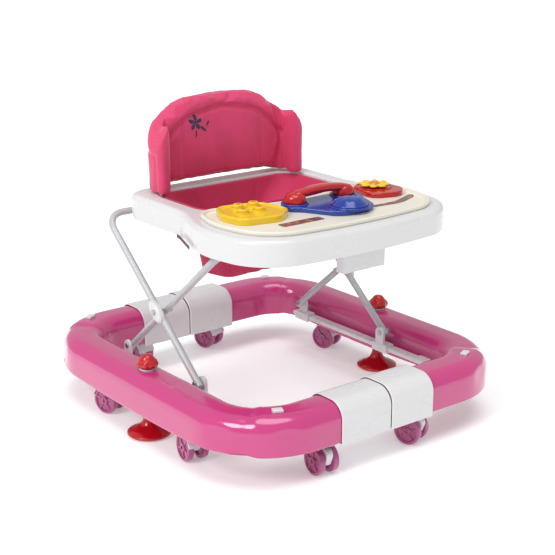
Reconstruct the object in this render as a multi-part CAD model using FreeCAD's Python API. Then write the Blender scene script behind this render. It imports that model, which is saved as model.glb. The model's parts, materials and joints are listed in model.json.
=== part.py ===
"""Baby walker: a ring base on swivel casters, two crossed tube frames and a seat table with toys.

Units are millimetres.  The origin is the centre of the footprint on the floor, +Z is up, the child
faces -Y and the child's left hand is towards +X.
"""
import math
import os

import FreeCAD
import Part
from FreeCAD import Vector

# ---------------------------------------------------------------- driving dimensions
# base ring
RING_HALF_WIDTH = 312.0
RING_HALF_LENGTH = 340.0
RING_CORNER = 145.0
BAND = 78.0
RING_HEIGHT = 70.0
RING_ROUND = 28.0
RING_WALL = 3.0
SIDE_RISE = 8.0
END_RISE = 6.0
END_SWELL = 2.5
BOSS_SINK = 0.2
BOSS_WALL = 6.0
SCREW_BOSS_WALL = 3.0
BUSH_BOSS_WALL = 4.0
SEAM_X = -8.0
CORNER_SHARE = 45.0

# white sleeves that join the two ring halves
SLEEVE_WALL = 3.0
COLLAR_STEP = 2.5
FRONT_SLEEVE_START = -117.0
FRONT_COLLAR_END = 88.0
REAR_SLEEVE_START = -116.0
REAR_COLLAR_END = 97.0
SCREW_R = 2.0
SCREW_HEAD_R = 4.0
SCREW_HEAD = 2.0
SCREW_LENGTH = 18.0
FRONT_SCREWS_X = [-98.0, -24.0, 8.0, 46.0]
REAR_SCREWS_X = [-72.0, -24.0, 8.0, 46.0]
CAP_LENGTH = 18.0
CAP_WIDTH = 12.0
CAP_HEIGHT = 5.0
CAP_ROUND = 1.5
CAP_SHOULDER = 2.5
CAP_TURN = 25.0
CAP_SIDE_INSET = 58.0
CAP_END_INSET = 4.0

# casters
WHEEL_R = 25.0
WHEEL_WIDTH = 12.0
WHEEL_SPREAD = 14.0
CASTER_TRAIL = 10.0
CASTER_SIDE_Y = 144.0
CASTER_FRONT_LEFT_X = 70.0
CASTER_FRONT_RIGHT_X = -132.0
CASTER_REAR_LEFT_X = 78.0
CASTER_REAR_RIGHT_X = -98.0
AXLE_R = 3.0
STEM_R = 5.0
STEM_LENGTH = 42.0
STEM_HOLE_ROOM = 1.5
STEM_END_ROOM = 1.0
WHEEL_ROOM = 1.5
HOOD_WALL = 2.0
HOOD_ROOM = 0.5
HOOD_SKIRT = 6.0
HOOD_FRONT = 12.0
WEB_DROP = 8.0
WEB_ROOM = 1.0
WHEEL_ROUND = 2.5
DISH_DEPTH = 3.0
DISH_RIM = 6.0
DISH_HUB_R = 7.0

# stoppers
STOPPER_FOOT_R = 40.0
STOPPER_STEM_R = 6.0
STOPPER_KNOB_R = 20.0
STOPPER_GAP = 2.0
STOPPER_KNOB_HEIGHT = 23.0
STOPPER_GRIP = 14.0
STOPPER_LIFT = 16.0
STOPPER_ROOM = 2.5
FOOT_EDGE = 2.0
FOOT_BRIM = 5.0
FOOT_SHOULDER = 11.0
FOOT_WAIST = 18.0
FOOT_NECK = 28.0
FOOT_NECK_R = 11.0
KNOB_EDGE = 3.0
KNOB_BRIM = 8.0
KNOB_SHOULDER = 15.0
KNOB_CROWN = 1.5
BUSH_WALL = 3.5
BUSH_FLANGE = 15.0
BUSH_FLANGE_THICK = 2.5

# crossed frames
HUB_Y = 42.0
HUB_LIFT = 84.0
FRAME_ANGLE = 40.0
LOWER_ARM = 156.0
UPPER_ARM = 224.0
TUBE_R = 6.5
TUBE_WALL = 1.3
TUBE_BEND = 34.0
LEG_GAP = 3.0
PIN_R = 3.0
PIN_HEAD_R = 5.0
PIN_HEAD = 2.0
LEG_PAST_PIVOT = 2.0
HUB_COVER_LONG = 24.0
HUB_COVER_WIDE = 13.0
HUB_COVER_INSET = 1.0
HUB_COVER_PROUD = 5.5
HUB_PIN_INSET = 1.5

# rails and their brackets
RAIL_WIDTH = 18.0
RAIL_THICK = 8.0
RAIL_LIFT = 20.0
RAIL_GAP = 6.0
RAIL_FRONT = -193.0
RAIL_REAR = 193.0
RAIL_FOOT = 28.0
BRACKET_LENGTH = 40.0
BRACKET_WALL = 4.0
EAR_THICK = 5.0
EAR_R = 11.0
EAR_ROOM = 1.0
BRACKET_OPEN = 2.0

# seat table
BAR_DEPTH = 46.0
TABLE_SKIRT = 45.0
TABLE_WALL = 3.0
FRAME_ROOM = 39.5
ARM_WIDTH = 40.0
TABLE_FRONT = -291.0
TABLE_NOSE_R = 900.0
TABLE_FRONT_IN = 27.0
TABLE_FRONT_BACK = 23.0
TABLE_FRONT_R = 95.0
TABLE_SIDE_Y = -120.0
TABLE_SIDE_R = 150.0
ARM_FRONT_Y = -5.0
ARM_FRONT_R = 120.0
ARM_REAR_R = 50.0
TABLE_ROUND = 9.0
SEAT_LIP = 20.0
SEAT_BOW_R = 200.0
SEAT_HALF_WIDTH = 165.0
SEAT_FRONT = -30.0
SEAT_BOW = 44.0
SEAT_REAR = 148.0
SEAT_CORNER = 45.0
CLIP_X = 140.0
CLIP_WIDTH = 30.0
CLIP_WALL = 5.0
RACK_X = 110.0
RACK_THICK = 8.0
RACK_FRONT = -238.0
RACK_REAR = -88.0
RACK_PITCH = 28.0
RACK_NOTCHES = 4
RACK_CLEAR = 0.6
SCALLOP_ROOM = 3.0
ADJUSTER_WIDTH = 96.0
ADJUSTER_DEPTH = 22.0
ADJUSTER_DROP = 35.0
ADJUSTER_INSET = 29.0
ADJUSTER_ROUND = 6.0
ADJUSTER_WALL = 3.0
LATCH_DROP = 14.0
LATCH_INSET = 8.0

# toy tray and toys
TRAY_SIDE_INSET = 27.0
TRAY_FRONT_INSET = 19.0
TRAY_FLOOR = 3.0
TRAY_RIM = 8.0
TRAY_RIM_WIDTH = 7.0
TRAY_FRONT_IN = 24.0
TRAY_FRONT_BACK = 22.0
TRAY_FRONT_R = 85.0
TRAY_SIDE_Y = -127.0
TRAY_SIDE_R = 120.0
TRAY_REAR_IN = 28.0
TRAY_REAR_Y = -34.0
TRAY_REAR_R = 40.0
TRAY_HOLLOW_GAP = 14.0
TRAY_HOLLOW_R = 240.0
TOY_PLATE = 9.0
KEY_R = 9.5
KEY_HEIGHT = 12.0
KEY_PROUD = 6.0
KEYPAD_PLATE = 12.0
HANDSET_LENGTH = 150.0
KEY_ROUND = 2.0
HANDSET_CUP_R = 20.0
HANDSET_CUP = 16.0
HANDLE_LOW = 10.0
HANDLE_HIGH = 26.0
HANDLE_HALF = 12.0
HANDLE_PAST = 8.0
HANDLE_ROUND = 5.0
DIAL_R = 32.0
DIAL_HEIGHT = 16.0
DIAL_CROWN = 1.15
DIAL_PIN = 12.0
FLOWER_R = 30.0
FLOWER_HEIGHT = 9.0
FLOWER_PIN = 7.0
PETALS = 8
PETAL_HEIGHT = 6.0
TOY_PIN_R = 4.0

# soft parts
BACK_OVERLAP = 5.0
BACK_SETBACK = 34.0
BACK_MARGIN = 8.0
BACK_BEND = 50.0
BACK_FRONT = 101.0
BACK_THICK = 30.0
BACK_HEIGHT = 177.0
BACK_WING_R = 12.0
ARCH_SIDE = 0.55
ARCH_SIDE_R = 80.0
ARCH_SHOULDER = 0.93
ARCH_SHOULDER_X = 0.61
ARCH_SHOULDER_R = 110.0
ARCH_TOP = 1.027
ARCH_TOP_R = 300.0
SLING_WALL = 5.0
SLING_DROP = 150.0
SLING_WAIST_IN = 58.0
SLING_WAIST_FRONT = 26.0
SLING_WAIST_REAR = 14.0
SLING_WAIST_DROP = 12.0
SLING_FOOT_IN = 74.0
SLING_FOOT_FRONT = 50.0
SLING_FOOT_REAR = 34.0
SLING_FOOT_R = 30.0
SLING_SINK = 2.0
LEG_HOLE_IN = 14.0
LEG_HOLE_LIFT = 14.0
LEG_HOLE_LOW_R = 16.0
LEG_HOLE_HIGH_R = 28.0
LEG_HOLE_WIDTH = 66.0
LEG_HOLE_HEIGHT = 70.0
STRAP_THICK = 1.6
STRAP_WIDTH = 6.0
STRAP_LIFT = 1.0
STRAP_FRONT = -84.0
STRAP_REAR = -6.0

# clearances
RUN_FIT = 0.05
SLIDE_FIT = 0.3
SLEEVE_FIT = 0.2
SOFT_GAP = 0.6
KEY_FIT = 0.3
CUT_PAST = 20.0

# ---------------------------------------------------------------- derived places
SIN = math.sin(math.radians(FRAME_ANGLE))
COS = math.cos(math.radians(FRAME_ANGLE))
HOOD_R = WHEEL_R + WHEEL_ROOM + HOOD_WALL
SIDE_LOW = WHEEL_R + HOOD_R + HOOD_ROOM
END_LOW = SIDE_LOW + END_RISE
RING_TOP = SIDE_LOW + RING_HEIGHT
BUSH_TOP = RING_TOP + BUSH_FLANGE_THICK
KNOB_LOW = BUSH_TOP + STOPPER_ROOM
HUB_Z = RING_TOP + HUB_LIFT
PIVOT_Z = HUB_Z - LOWER_ARM * SIN
REAR_PIVOT_Y = HUB_Y + LOWER_ARM * COS
FRONT_PIVOT_Y = HUB_Y - LOWER_ARM * COS
TOP_BAR_Z = HUB_Z + UPPER_ARM * SIN
REAR_BAR_Y = HUB_Y + UPPER_ARM * COS
FRONT_BAR_Y = HUB_Y - UPPER_ARM * COS
MID_X = RING_HALF_WIDTH - BAND / 2
MID_Y = RING_HALF_LENGTH - BAND / 2
MID_CORNER = RING_CORNER - BAND / 2
RING_INNER_X = RING_HALF_WIDTH - BAND
END_TOP = RING_TOP + END_SWELL
RAIL_OUT = RING_INNER_X - RAIL_GAP
RAIL_IN = RAIL_OUT - RAIL_WIDTH
RAIL_Z = SIDE_LOW + RAIL_LIFT
RAIL_TOP = RAIL_Z + RAIL_THICK
FRAME_A_X = (RAIL_IN + RAIL_OUT) / 2
FRAME_B_X = FRAME_A_X - 2 * TUBE_R - LEG_GAP
TABLE_TOP = TOP_BAR_Z + BAR_DEPTH
TABLE_HALF_WIDTH = FRAME_B_X + TUBE_R + FRAME_ROOM
ARM_HALF_WIDTH = SEAT_HALF_WIDTH + ARM_WIDTH
BACK_HALF_WIDTH = SEAT_HALF_WIDTH + BACK_OVERLAP
BACK_REAR = SEAT_REAR + BACK_SETBACK
TABLE_REAR = BACK_REAR + BACK_MARGIN
ADJUSTER_Y = TABLE_FRONT + ADJUSTER_INSET
TRAY_HALF_WIDTH = TABLE_HALF_WIDTH - TRAY_SIDE_INSET
TRAY_FRONT = TABLE_FRONT + TRAY_FRONT_INSET
SLING_BOTTOM = TABLE_TOP - SLING_DROP
SKIRT_Z = TABLE_TOP - TABLE_SKIRT
TRAY_Z = TABLE_TOP
TOY_Z = TRAY_Z + TRAY_FLOOR
CASTER_SPOTS = [
    ("left_side_front", MID_X, -CASTER_SIDE_Y, 10.0),
    ("left_side_rear", MID_X, CASTER_SIDE_Y, 197.0),
    ("right_side_front", -MID_X, -CASTER_SIDE_Y, 172.0),
    ("right_side_rear", -MID_X, CASTER_SIDE_Y, 17.0),
    ("front_left", CASTER_FRONT_LEFT_X, -MID_Y, 20.0),
    ("front_right", CASTER_FRONT_RIGHT_X, -MID_Y, -4.0),
    ("rear_left", CASTER_REAR_LEFT_X, MID_Y, 197.0),
    ("rear_right", CASTER_REAR_RIGHT_X, MID_Y, 190.0),
]
KEY_SPOTS = [(-137.0, -88.0), (-106.0, -90.0), (-150.0, -120.0), (-118.0, -122.0)]
DIAL_SPOT = (28.0, -188.0)
FLOWER_SPOT = (160.0, -104.0)
HANDSET_SPOT = (18.0, -118.0)
KEYPAD_CORNERS = [(-182, -160, 22), (-110, -176, 26), (-68, -142, 24), (-76, -104, 20), (-80, -80, 18),
                  (-118, -66, 26), (-165, -58, 24), (-190, -112, 40)]
CRADLE_CORNERS = [(-44, -150, 18), (-12, -214, 34), (70, -214, 34), (90, -158, 20), (103, -134, 16),
                  (99, -96, 16), (-58, -96, 16), (-62, -134, 16)]
FLOWER_CORNERS = [(114, -148, 24), (170, -168, 30), (200, -140, 26), (199, -88, 26), (176, -64, 24),
                  (128, -76, 22)]


# ---------------------------------------------------------------- small helpers
def corner_arc(before, corner, after, radius):
    """The two tangent points and the arc that rounds one corner of a path."""
    towards_before = (before - corner).normalize()
    towards_after = (after - corner).normalize()
    half = towards_before.getAngle(towards_after) / 2
    reach = radius / math.tan(half)
    start = corner + towards_before * reach
    end = corner + towards_after * reach
    middle = corner + (towards_before + towards_after).normalize() * (radius / math.sin(half) - radius)
    return start, Part.Arc(start, middle, end).toShape(), end


def rounded_path(corners, closed):
    """A wire through (point, radius) corners, with a tangent arc at each one that has a radius."""
    count = len(corners)
    edges = []
    previous = None
    first = None
    for i, (point, radius) in enumerate(corners):
        end_point = not closed and i in (0, count - 1)
        if end_point or not radius:
            start, arc, end = point, None, point
        else:
            start, arc, end = corner_arc(corners[i - 1][0], point, corners[(i + 1) % count][0], radius)
        if previous is not None and previous.distanceToPoint(start) > 1e-6:
            edges.append(Part.LineSegment(previous, start).toShape())
        if arc:
            edges.append(arc)
        first = start if first is None else first
        previous = end
    if closed and previous.distanceToPoint(first) > 1e-6:
        edges.append(Part.LineSegment(previous, first).toShape())
    return Part.Wire(edges)


def plate(corners, low, high):
    """A flat plate between two heights, from (x, y, radius) corners."""
    wire = rounded_path([(Vector(x, y, low), radius) for x, y, radius in corners], True)
    return Part.Face(wire).extrude(Vector(0, 0, high - low))


def box(x0, x1, y0, y1, z0, z1):
    return Part.makeBox(x1 - x0, y1 - y0, z1 - z0, Vector(x0, y0, z0))


def rod(x, y, z, radius, length, axis=Vector(0, 0, 1)):
    return Part.makeCylinder(radius, length, Vector(x, y, z), axis)


def rod_x(x0, x1, y, z, radius):
    return Part.makeCylinder(radius, x1 - x0, Vector(x0, y, z), Vector(1, 0, 0))


def turned(points):
    """A solid of revolution about Z from (radius, z) corners."""
    wire = Part.makePolygon([Vector(r, 0, z) for r, z in points + points[:1]])
    return Part.Face(wire).revolve(Vector(0, 0, 0), Vector(0, 0, 1), 360)


def fuse(first, *others):
    return first.fuse(list(others)).removeSplitter()


def cut(solid, *tools):
    return solid.cut(list(tools))


def mirror_x(shape):
    return shape.mirror(Vector(0, 0, 0), Vector(1, 0, 0))


def both_sides(shape):
    return Part.makeCompound([shape, mirror_x(shape)])


def mirrored_corners(half):
    """Corners of a symmetric outline from its +X half, which runs from front to rear."""
    centre_front = [c for c in half if c[0] == 0]
    rest = [c for c in half if c[0] != 0]
    back = [(-x, y, r) for x, y, r in reversed(rest)]
    return centre_front[:1] + rest + centre_front[1:] + back


# ---------------------------------------------------------------- base ring
def ring_section(grow, low, high, top_round):
    """Section of the band in the XZ plane at X = 0: flat walls and a rounded top."""
    half = BAND / 2 + grow
    corners = [
        (Vector(-half, 0, low), 0),
        (Vector(half, 0, low), 0),
        (Vector(half, 0, high), top_round),
        (Vector(-half, 0, high), top_round),
    ]
    return Part.Face(rounded_path(corners, True))


def side_bar(section):
    """The straight side and its two whole corners, on the +X side."""
    straight = section.copy()
    straight.translate(Vector(MID_X, -(MID_Y - MID_CORNER), 0))
    pieces = [straight.extrude(Vector(0, 2 * (MID_Y - MID_CORNER), 0))]
    for end in (-1, 1):
        start = section.copy()
        start.translate(Vector(MID_X, end * (MID_Y - MID_CORNER), 0))
        centre = Vector(MID_X - MID_CORNER, end * (MID_Y - MID_CORNER), 0)
        pieces.append(start.revolve(centre, Vector(0, 0, 1), end * 90))
    return fuse(*pieces)


def end_bar(section, end, from_x, corner_turn):
    """One end of the ring from from_x to the corner and part of the way round it."""
    across = section.copy()
    across.rotate(Vector(0, 0, 0), Vector(0, 0, 1), end * 90)
    across.translate(Vector(from_x, end * MID_Y, 0))
    corner_x = MID_X - MID_CORNER
    straight = across.extrude(Vector(corner_x - from_x, 0, 0))
    start = across.copy()
    start.translate(Vector(corner_x - from_x, 0, 0))
    centre = Vector(corner_x, end * (MID_Y - MID_CORNER), 0)
    corner = start.revolve(centre, Vector(0, 0, 1), -end * corner_turn)
    return fuse(straight, corner)


def rocker(shape):
    """Trim the underside to the long rocker curve that rises towards both ends."""
    reach = MID_Y - MID_CORNER / 2
    radius = (reach ** 2 + SIDE_RISE ** 2) / (2 * SIDE_RISE)
    drum = rod_x(-2 * RING_HALF_WIDTH, 2 * RING_HALF_WIDTH, 0, SIDE_LOW + radius, radius)
    return shape.common(drum)


def boss(x, y, radius, bore, top):
    """A round boss under the band's top, with its bore open downwards."""
    low = END_LOW if abs(y) == MID_Y else SIDE_LOW + SIDE_RISE / 2
    outer = rod(x, y, low, radius, RING_TOP - BOSS_SINK - low)
    return outer, rod(x, y, low - CUT_PAST, bore, top - low + CUT_PAST)


def caster_bore_top():
    return WHEEL_R + HOOD_R + STEM_LENGTH + STEM_END_ROOM


def screw_spots():
    """(x, end) of the screws that hold the sleeves from below."""
    return [(x, -1) for x in FRONT_SCREWS_X] + [(x, 1) for x in REAR_SCREWS_X]


def base_half(side):
    """One C-shaped half of the base: an open-bottomed channel with bosses for what plugs into it."""
    outer = rocker(side_bar(ring_section(0, SIDE_LOW - CUT_PAST, RING_TOP, RING_ROUND)))
    deep = SIDE_LOW - 2 * CUT_PAST
    hollow = side_bar(ring_section(-RING_WALL, deep, RING_TOP - RING_WALL, RING_ROUND - RING_WALL))
    start = SEAM_X * side
    ends = []
    end_hollows = []
    for end in (-1, 1):
        ends.append(end_bar(ring_section(END_SWELL, END_LOW, END_TOP, RING_ROUND), end, start, CORNER_SHARE))
        inner = ring_section(END_SWELL - RING_WALL, deep, END_TOP - RING_WALL, RING_ROUND - RING_WALL)
        end_hollows.append(end_bar(inner, end, start - 1, CORNER_SHARE - 1))
    shell = cut(fuse(outer, *ends), hollow, *end_hollows)
    bosses = []
    bores = []
    for name, x, y, turn in CASTER_SPOTS:
        if x * side > 0:
            solid, bore = boss(abs(x), y, STEM_R + BOSS_WALL, STEM_R + RUN_FIT, caster_bore_top())
            bosses.append(solid)
            bores.append(bore)
    for x, end in screw_spots():
        if (x - SEAM_X) * side > 0:
            solid, bore = boss(x * side, end * MID_Y, SCREW_R + SCREW_BOSS_WALL, SCREW_R, END_LOW + SCREW_LENGTH)
            bosses.append(solid)
            bores.append(bore)
    bush_r = STOPPER_STEM_R + BUSH_WALL
    solid, bore = boss(MID_X, 0, bush_r + BUSH_BOSS_WALL, bush_r, BUSH_TOP)
    slots = [place_cap(corner_cap(SLIDE_FIT)[1], 1, end) for end in (-1, 1)]
    half = cut(fuse(shell, *bosses, solid), bore, *bores, *slots)
    return half if side > 0 else mirror_x(half)


def sleeve(end, from_x, to_x, step):
    """A white sleeve that wraps the ring at the front (-1) or rear (+1)."""
    fit = END_SWELL + SLEEVE_FIT
    outer = ring_section(fit + SLEEVE_WALL + step, END_LOW - SLEEVE_WALL - SLEEVE_FIT,
                         END_TOP + SLEEVE_FIT + SLEEVE_WALL + step, RING_ROUND + SLEEVE_WALL)
    inner = ring_section(fit, END_LOW - SLEEVE_FIT, END_TOP + SLEEVE_FIT, RING_ROUND)
    shapes = []
    for section, start, length in ((outer, from_x, to_x - from_x),
                                   (inner, from_x - CUT_PAST, to_x - from_x + 2 * CUT_PAST)):
        section.rotate(Vector(0, 0, 0), Vector(0, 0, 1), end * 90)
        section.translate(Vector(start, end * MID_Y, 0))
        shapes.append(section.extrude(Vector(length, 0, 0)))
    holes = []
    for x, at in screw_spots():
        if at == end and from_x < x < to_x:
            holes.append(rod(x, end * MID_Y, END_LOW - CUT_PAST / 2, SCREW_R + SLEEVE_FIT, CUT_PAST))
    for name, x, y, turn in CASTER_SPOTS:
        if y == end * MID_Y and from_x - STEM_R < x < to_x + STEM_R:
            holes.append(rod(x, y, END_LOW - CUT_PAST / 2, STEM_R + STEM_HOLE_ROOM, CUT_PAST))
    return cut(shapes[0], shapes[1], *holes)


def base_screws():
    head_top = END_LOW - SLEEVE_WALL - SLEEVE_FIT
    screws = []
    for x, end in screw_spots():
        head = rod(x, end * MID_Y, head_top - SCREW_HEAD, SCREW_HEAD_R, SCREW_HEAD)
        shank = rod(x, end * MID_Y, head_top - SCREW_HEAD / 2, SCREW_R - SLEEVE_FIT / 2, SCREW_LENGTH)
        screws.append(fuse(head, shank))
    return Part.makeCompound(screws)


def corner_cap(fit):
    """A clip that plugs a mould hole: a head on the ring and a tongue through its wall."""
    head = box(-CAP_LENGTH / 2, CAP_LENGTH / 2, -CAP_WIDTH / 2, CAP_WIDTH / 2, END_TOP, END_TOP + CAP_HEIGHT)
    head = head.makeFillet(CAP_ROUND, [e for e in head.Edges if e.BoundBox.ZMin > END_TOP])
    half_length = CAP_LENGTH / 2 - CAP_SHOULDER + fit
    half_width = CAP_WIDTH / 2 - CAP_SHOULDER + fit
    depth = 2 * RING_WALL + fit
    tongue = box(-half_length, half_length, -half_width, half_width, END_TOP - depth, END_TOP + fit)
    return head, tongue


def place_cap(shape, side, end):
    shape.rotate(Vector(0, 0, 0), Vector(0, 0, 1), -side * end * CAP_TURN)
    shape.translate(Vector(side * (MID_X - CAP_SIDE_INSET), end * (MID_Y - CAP_END_INSET), 0))
    return shape


def corner_caps():
    """Four caps near the corners."""
    return Part.makeCompound([place_cap(fuse(*corner_cap(0)), side, end) for side in (-1, 1) for end in (-1, 1)])


# ---------------------------------------------------------------- casters
def caster_fork():
    """Swivelling housing about its own stem at the origin, wheels trailing towards -Y."""
    centre_z = WHEEL_R
    plate_half = WHEEL_SPREAD - WHEEL_WIDTH / 2 - WEB_ROOM
    web = rod_x(-plate_half, plate_half, -CASTER_TRAIL, centre_z, HOOD_R)
    web = web.common(box(-CUT_PAST, CUT_PAST, -CASTER_TRAIL - HOOD_R - 1, STEM_R + HOOD_WALL + 1,
                         centre_z - WEB_DROP, centre_z + HOOD_R))
    reach = WHEEL_SPREAD + WHEEL_WIDTH / 2
    hood = cut(rod_x(-reach, reach, -CASTER_TRAIL, centre_z, HOOD_R),
               rod_x(-reach - 1, reach + 1, -CASTER_TRAIL, centre_z, HOOD_R - HOOD_WALL))
    hood = hood.common(box(-2 * CUT_PAST, 2 * CUT_PAST, -CASTER_TRAIL - HOOD_FRONT, 2 * HOOD_R,
                           centre_z + HOOD_SKIRT, centre_z + HOOD_R))
    stem = rod(0, 0, centre_z + HOOD_R - HOOD_SKIRT, STEM_R, STEM_LENGTH + HOOD_SKIRT)
    fork = fuse(web, hood, stem)
    axle_bore = rod_x(-2 * CUT_PAST, 2 * CUT_PAST, -CASTER_TRAIL, centre_z, AXLE_R + RUN_FIT)
    return cut(fork, axle_bore)


def caster_wheels():
    """Twin wheels pressed on one axle."""
    inner = WHEEL_SPREAD - WHEEL_WIDTH / 2
    outer = WHEEL_SPREAD + WHEEL_WIDTH / 2
    wheel = rod_x(inner, outer, -CASTER_TRAIL, WHEEL_R, WHEEL_R)
    rims = [e for e in wheel.Edges if e.Curve.TypeId == "Part::GeomCircle"]
    wheel = wheel.makeFillet(WHEEL_ROUND, rims)
    dish = cut(rod_x(outer - DISH_DEPTH, outer + 1, -CASTER_TRAIL, WHEEL_R, WHEEL_R - DISH_RIM),
               rod_x(outer - DISH_DEPTH - 1, outer + 2, -CASTER_TRAIL, WHEEL_R, DISH_HUB_R))
    wheel = cut(wheel, dish, rod_x(inner - 1, outer + 1, -CASTER_TRAIL, WHEEL_R, AXLE_R))
    axle = rod_x(-outer + 1, outer - 1, -CASTER_TRAIL, WHEEL_R, AXLE_R)
    return Part.makeCompound([wheel, mirror_x(wheel), axle])


def place_caster(shape, x, y, turn):
    placed = shape.copy()
    placed.rotate(Vector(0, 0, 0), Vector(0, 0, 1), turn)
    placed.translate(Vector(x, y, 0))
    return placed


# ---------------------------------------------------------------- stoppers
def stopper_foot():
    """Red bell foot and its stem, parked just clear of the floor."""
    low = STOPPER_GAP
    neck_top = SIDE_LOW - STOPPER_LIFT
    shape = turned([
        (0, low), (STOPPER_FOOT_R - FOOT_EDGE, low), (STOPPER_FOOT_R, low + FOOT_EDGE),
        (STOPPER_FOOT_R, low + FOOT_BRIM), (STOPPER_FOOT_R * 0.8, low + FOOT_SHOULDER),
        (STOPPER_FOOT_R * 0.4, low + FOOT_WAIST), (FOOT_NECK_R, low + FOOT_NECK), (FOOT_NECK_R - 1, neck_top),
        (STOPPER_STEM_R, neck_top), (STOPPER_STEM_R, KNOB_LOW + STOPPER_GRIP), (0, KNOB_LOW + STOPPER_GRIP),
    ])
    shape.translate(Vector(MID_X, 0, 0))
    return shape


def stopper_knob():
    low = KNOB_LOW
    high = low + STOPPER_KNOB_HEIGHT
    socket = low + STOPPER_GRIP + SLIDE_FIT
    shape = turned([
        (STOPPER_STEM_R + RUN_FIT, low), (STOPPER_KNOB_R - KNOB_EDGE, low), (STOPPER_KNOB_R, low + KNOB_EDGE),
        (STOPPER_KNOB_R, low + KNOB_BRIM), (STOPPER_KNOB_R * 0.75, low + KNOB_SHOULDER),
        (STOPPER_KNOB_R * 0.35, high - KNOB_CROWN), (0, high), (0, socket), (STOPPER_STEM_R + RUN_FIT, socket),
    ])
    shape.translate(Vector(MID_X, 0, 0))
    return shape


def stopper_bush():
    low = SIDE_LOW + SIDE_RISE
    bush = turned([
        (STOPPER_STEM_R + RUN_FIT, low), (STOPPER_STEM_R + BUSH_WALL, low),
        (STOPPER_STEM_R + BUSH_WALL, RING_TOP), (BUSH_FLANGE, RING_TOP), (BUSH_FLANGE, BUSH_TOP),
        (STOPPER_STEM_R + RUN_FIT, BUSH_TOP),
    ])
    bush.translate(Vector(MID_X, 0, 0))
    return bush


# ---------------------------------------------------------------- rails and brackets
def rail():
    """Flat rail beside the inner wall of one side, on a foot at each end."""
    bar = box(RAIL_IN, RAIL_OUT, RAIL_FRONT, RAIL_REAR, RAIL_Z, RAIL_TOP)
    feet = [box(RAIL_OUT - 1, RING_INNER_X, y, y + RAIL_FOOT, RAIL_Z, RAIL_TOP)
            for y in (RAIL_FRONT, RAIL_REAR - RAIL_FOOT)]
    return fuse(bar, *feet)


def bracket(y, ear_low_x, fit):
    """A shoe that wraps the rail from its inner side, with an ear that carries a pivot."""
    x0 = RAIL_IN - BRACKET_WALL
    x1 = RAIL_OUT - BRACKET_OPEN
    z0 = RAIL_Z - BRACKET_WALL
    z1 = RAIL_TOP + BRACKET_WALL
    half = BRACKET_LENGTH / 2
    block = box(x0, x1, y - half, y + half, z0, z1)
    slot = box(RAIL_IN - fit, x1 + CUT_PAST, y - half - 1, y + half + 1, RAIL_Z - fit, RAIL_TOP + fit)
    ear_base = box(ear_low_x, ear_low_x + EAR_THICK, y - EAR_R, y + EAR_R, z1 - 1, PIVOT_Z)
    ear_top = rod_x(ear_low_x, ear_low_x + EAR_THICK, y, PIVOT_Z, EAR_R)
    body = fuse(cut(block, slot), ear_base, ear_top)
    return cut(body, rod_x(ear_low_x - 1, ear_low_x + EAR_THICK + 1, y, PIVOT_Z, PIN_R))


def ear_outboard_x():
    """The rear bracket's ear stands outboard of the inner frame's leg."""
    return FRAME_B_X + TUBE_R + EAR_ROOM


def ear_inboard_x():
    """The front shoe's ear stands inboard of the outer frame's leg."""
    return FRAME_A_X - TUBE_R - EAR_ROOM - EAR_THICK


def pivot_pin(x0, x1, y, z):
    shank = rod_x(x0, x1, y, z, PIN_R)
    heads = [rod_x(x0 - PIN_HEAD, x0, y, z, PIN_HEAD_R), rod_x(x1, x1 + PIN_HEAD, y, z, PIN_HEAD_R)]
    return fuse(shank, *heads)


# ---------------------------------------------------------------- crossed frames
def bent_tube(x, foot_y, bar_y):
    """A U of tube: two sloping legs that end at the foot pivots and a crossbar on top."""
    slope = Vector(0, bar_y - foot_y, TOP_BAR_Z - PIVOT_Z).normalize()
    foot = Vector(0, foot_y, PIVOT_Z) - slope * (TUBE_R + LEG_PAST_PIVOT)
    corners = [
        (Vector(-x, foot.y, foot.z), 0), (Vector(-x, bar_y, TOP_BAR_Z), TUBE_BEND),
        (Vector(x, bar_y, TOP_BAR_Z), TUBE_BEND), (Vector(x, foot.y, foot.z), 0),
    ]
    path = rounded_path(corners, False)
    solids = []
    for radius in (TUBE_R, TUBE_R - TUBE_WALL):
        profile = Part.Wire(Part.Circle(corners[0][0], slope, radius).toShape())
        solids.append(path.makePipeShell([profile], True, False))
    return cut(*solids)


def frame_a():
    tube = bent_tube(FRAME_A_X, FRONT_PIVOT_Y, REAR_BAR_Y)
    reach = FRAME_A_X + CUT_PAST
    holes = [rod_x(-reach, reach, HUB_Y, HUB_Z, PIN_R),
             rod_x(-reach, reach, FRONT_PIVOT_Y, PIVOT_Z, PIN_R + RUN_FIT)]
    return cut(tube, *holes)


def frame_b():
    tube = bent_tube(FRAME_B_X, REAR_PIVOT_Y, FRONT_BAR_Y)
    reach = FRAME_B_X + CUT_PAST
    holes = [rod_x(-reach, reach, HUB_Y, HUB_Z, PIN_R + RUN_FIT),
             rod_x(-reach, reach, REAR_PIVOT_Y, PIVOT_Z, PIN_R + RUN_FIT)]
    return cut(tube, *holes)


def hub_cover():
    """Oval plastic cover over the outer leg at the crossing."""
    x0 = FRAME_A_X + HUB_COVER_INSET
    x1 = FRAME_A_X + TUBE_R + HUB_COVER_PROUD
    oval = Part.Face(Part.Wire(Part.Ellipse(Vector(0, 0, 0), HUB_COVER_LONG, HUB_COVER_WIDE).toShape()))
    oval.rotate(Vector(0, 0, 0), Vector(0, 1, 0), 90)
    oval.rotate(Vector(0, 0, 0), Vector(1, 0, 0), 90 + FRAME_ANGLE)
    oval.translate(Vector(x0, HUB_Y, HUB_Z))
    cover = oval.extrude(Vector(x1 - x0, 0, 0))
    slope = Vector(0, COS, SIN)
    middle = Vector(FRAME_A_X, HUB_Y, HUB_Z)
    channel = Part.makeCylinder(TUBE_R, 4 * HUB_COVER_LONG, middle - slope * 2 * HUB_COVER_LONG, slope)
    return cut(cover, channel, rod_x(x0 - 1, x1 + 1, HUB_Y, HUB_Z, PIN_R))


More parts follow.
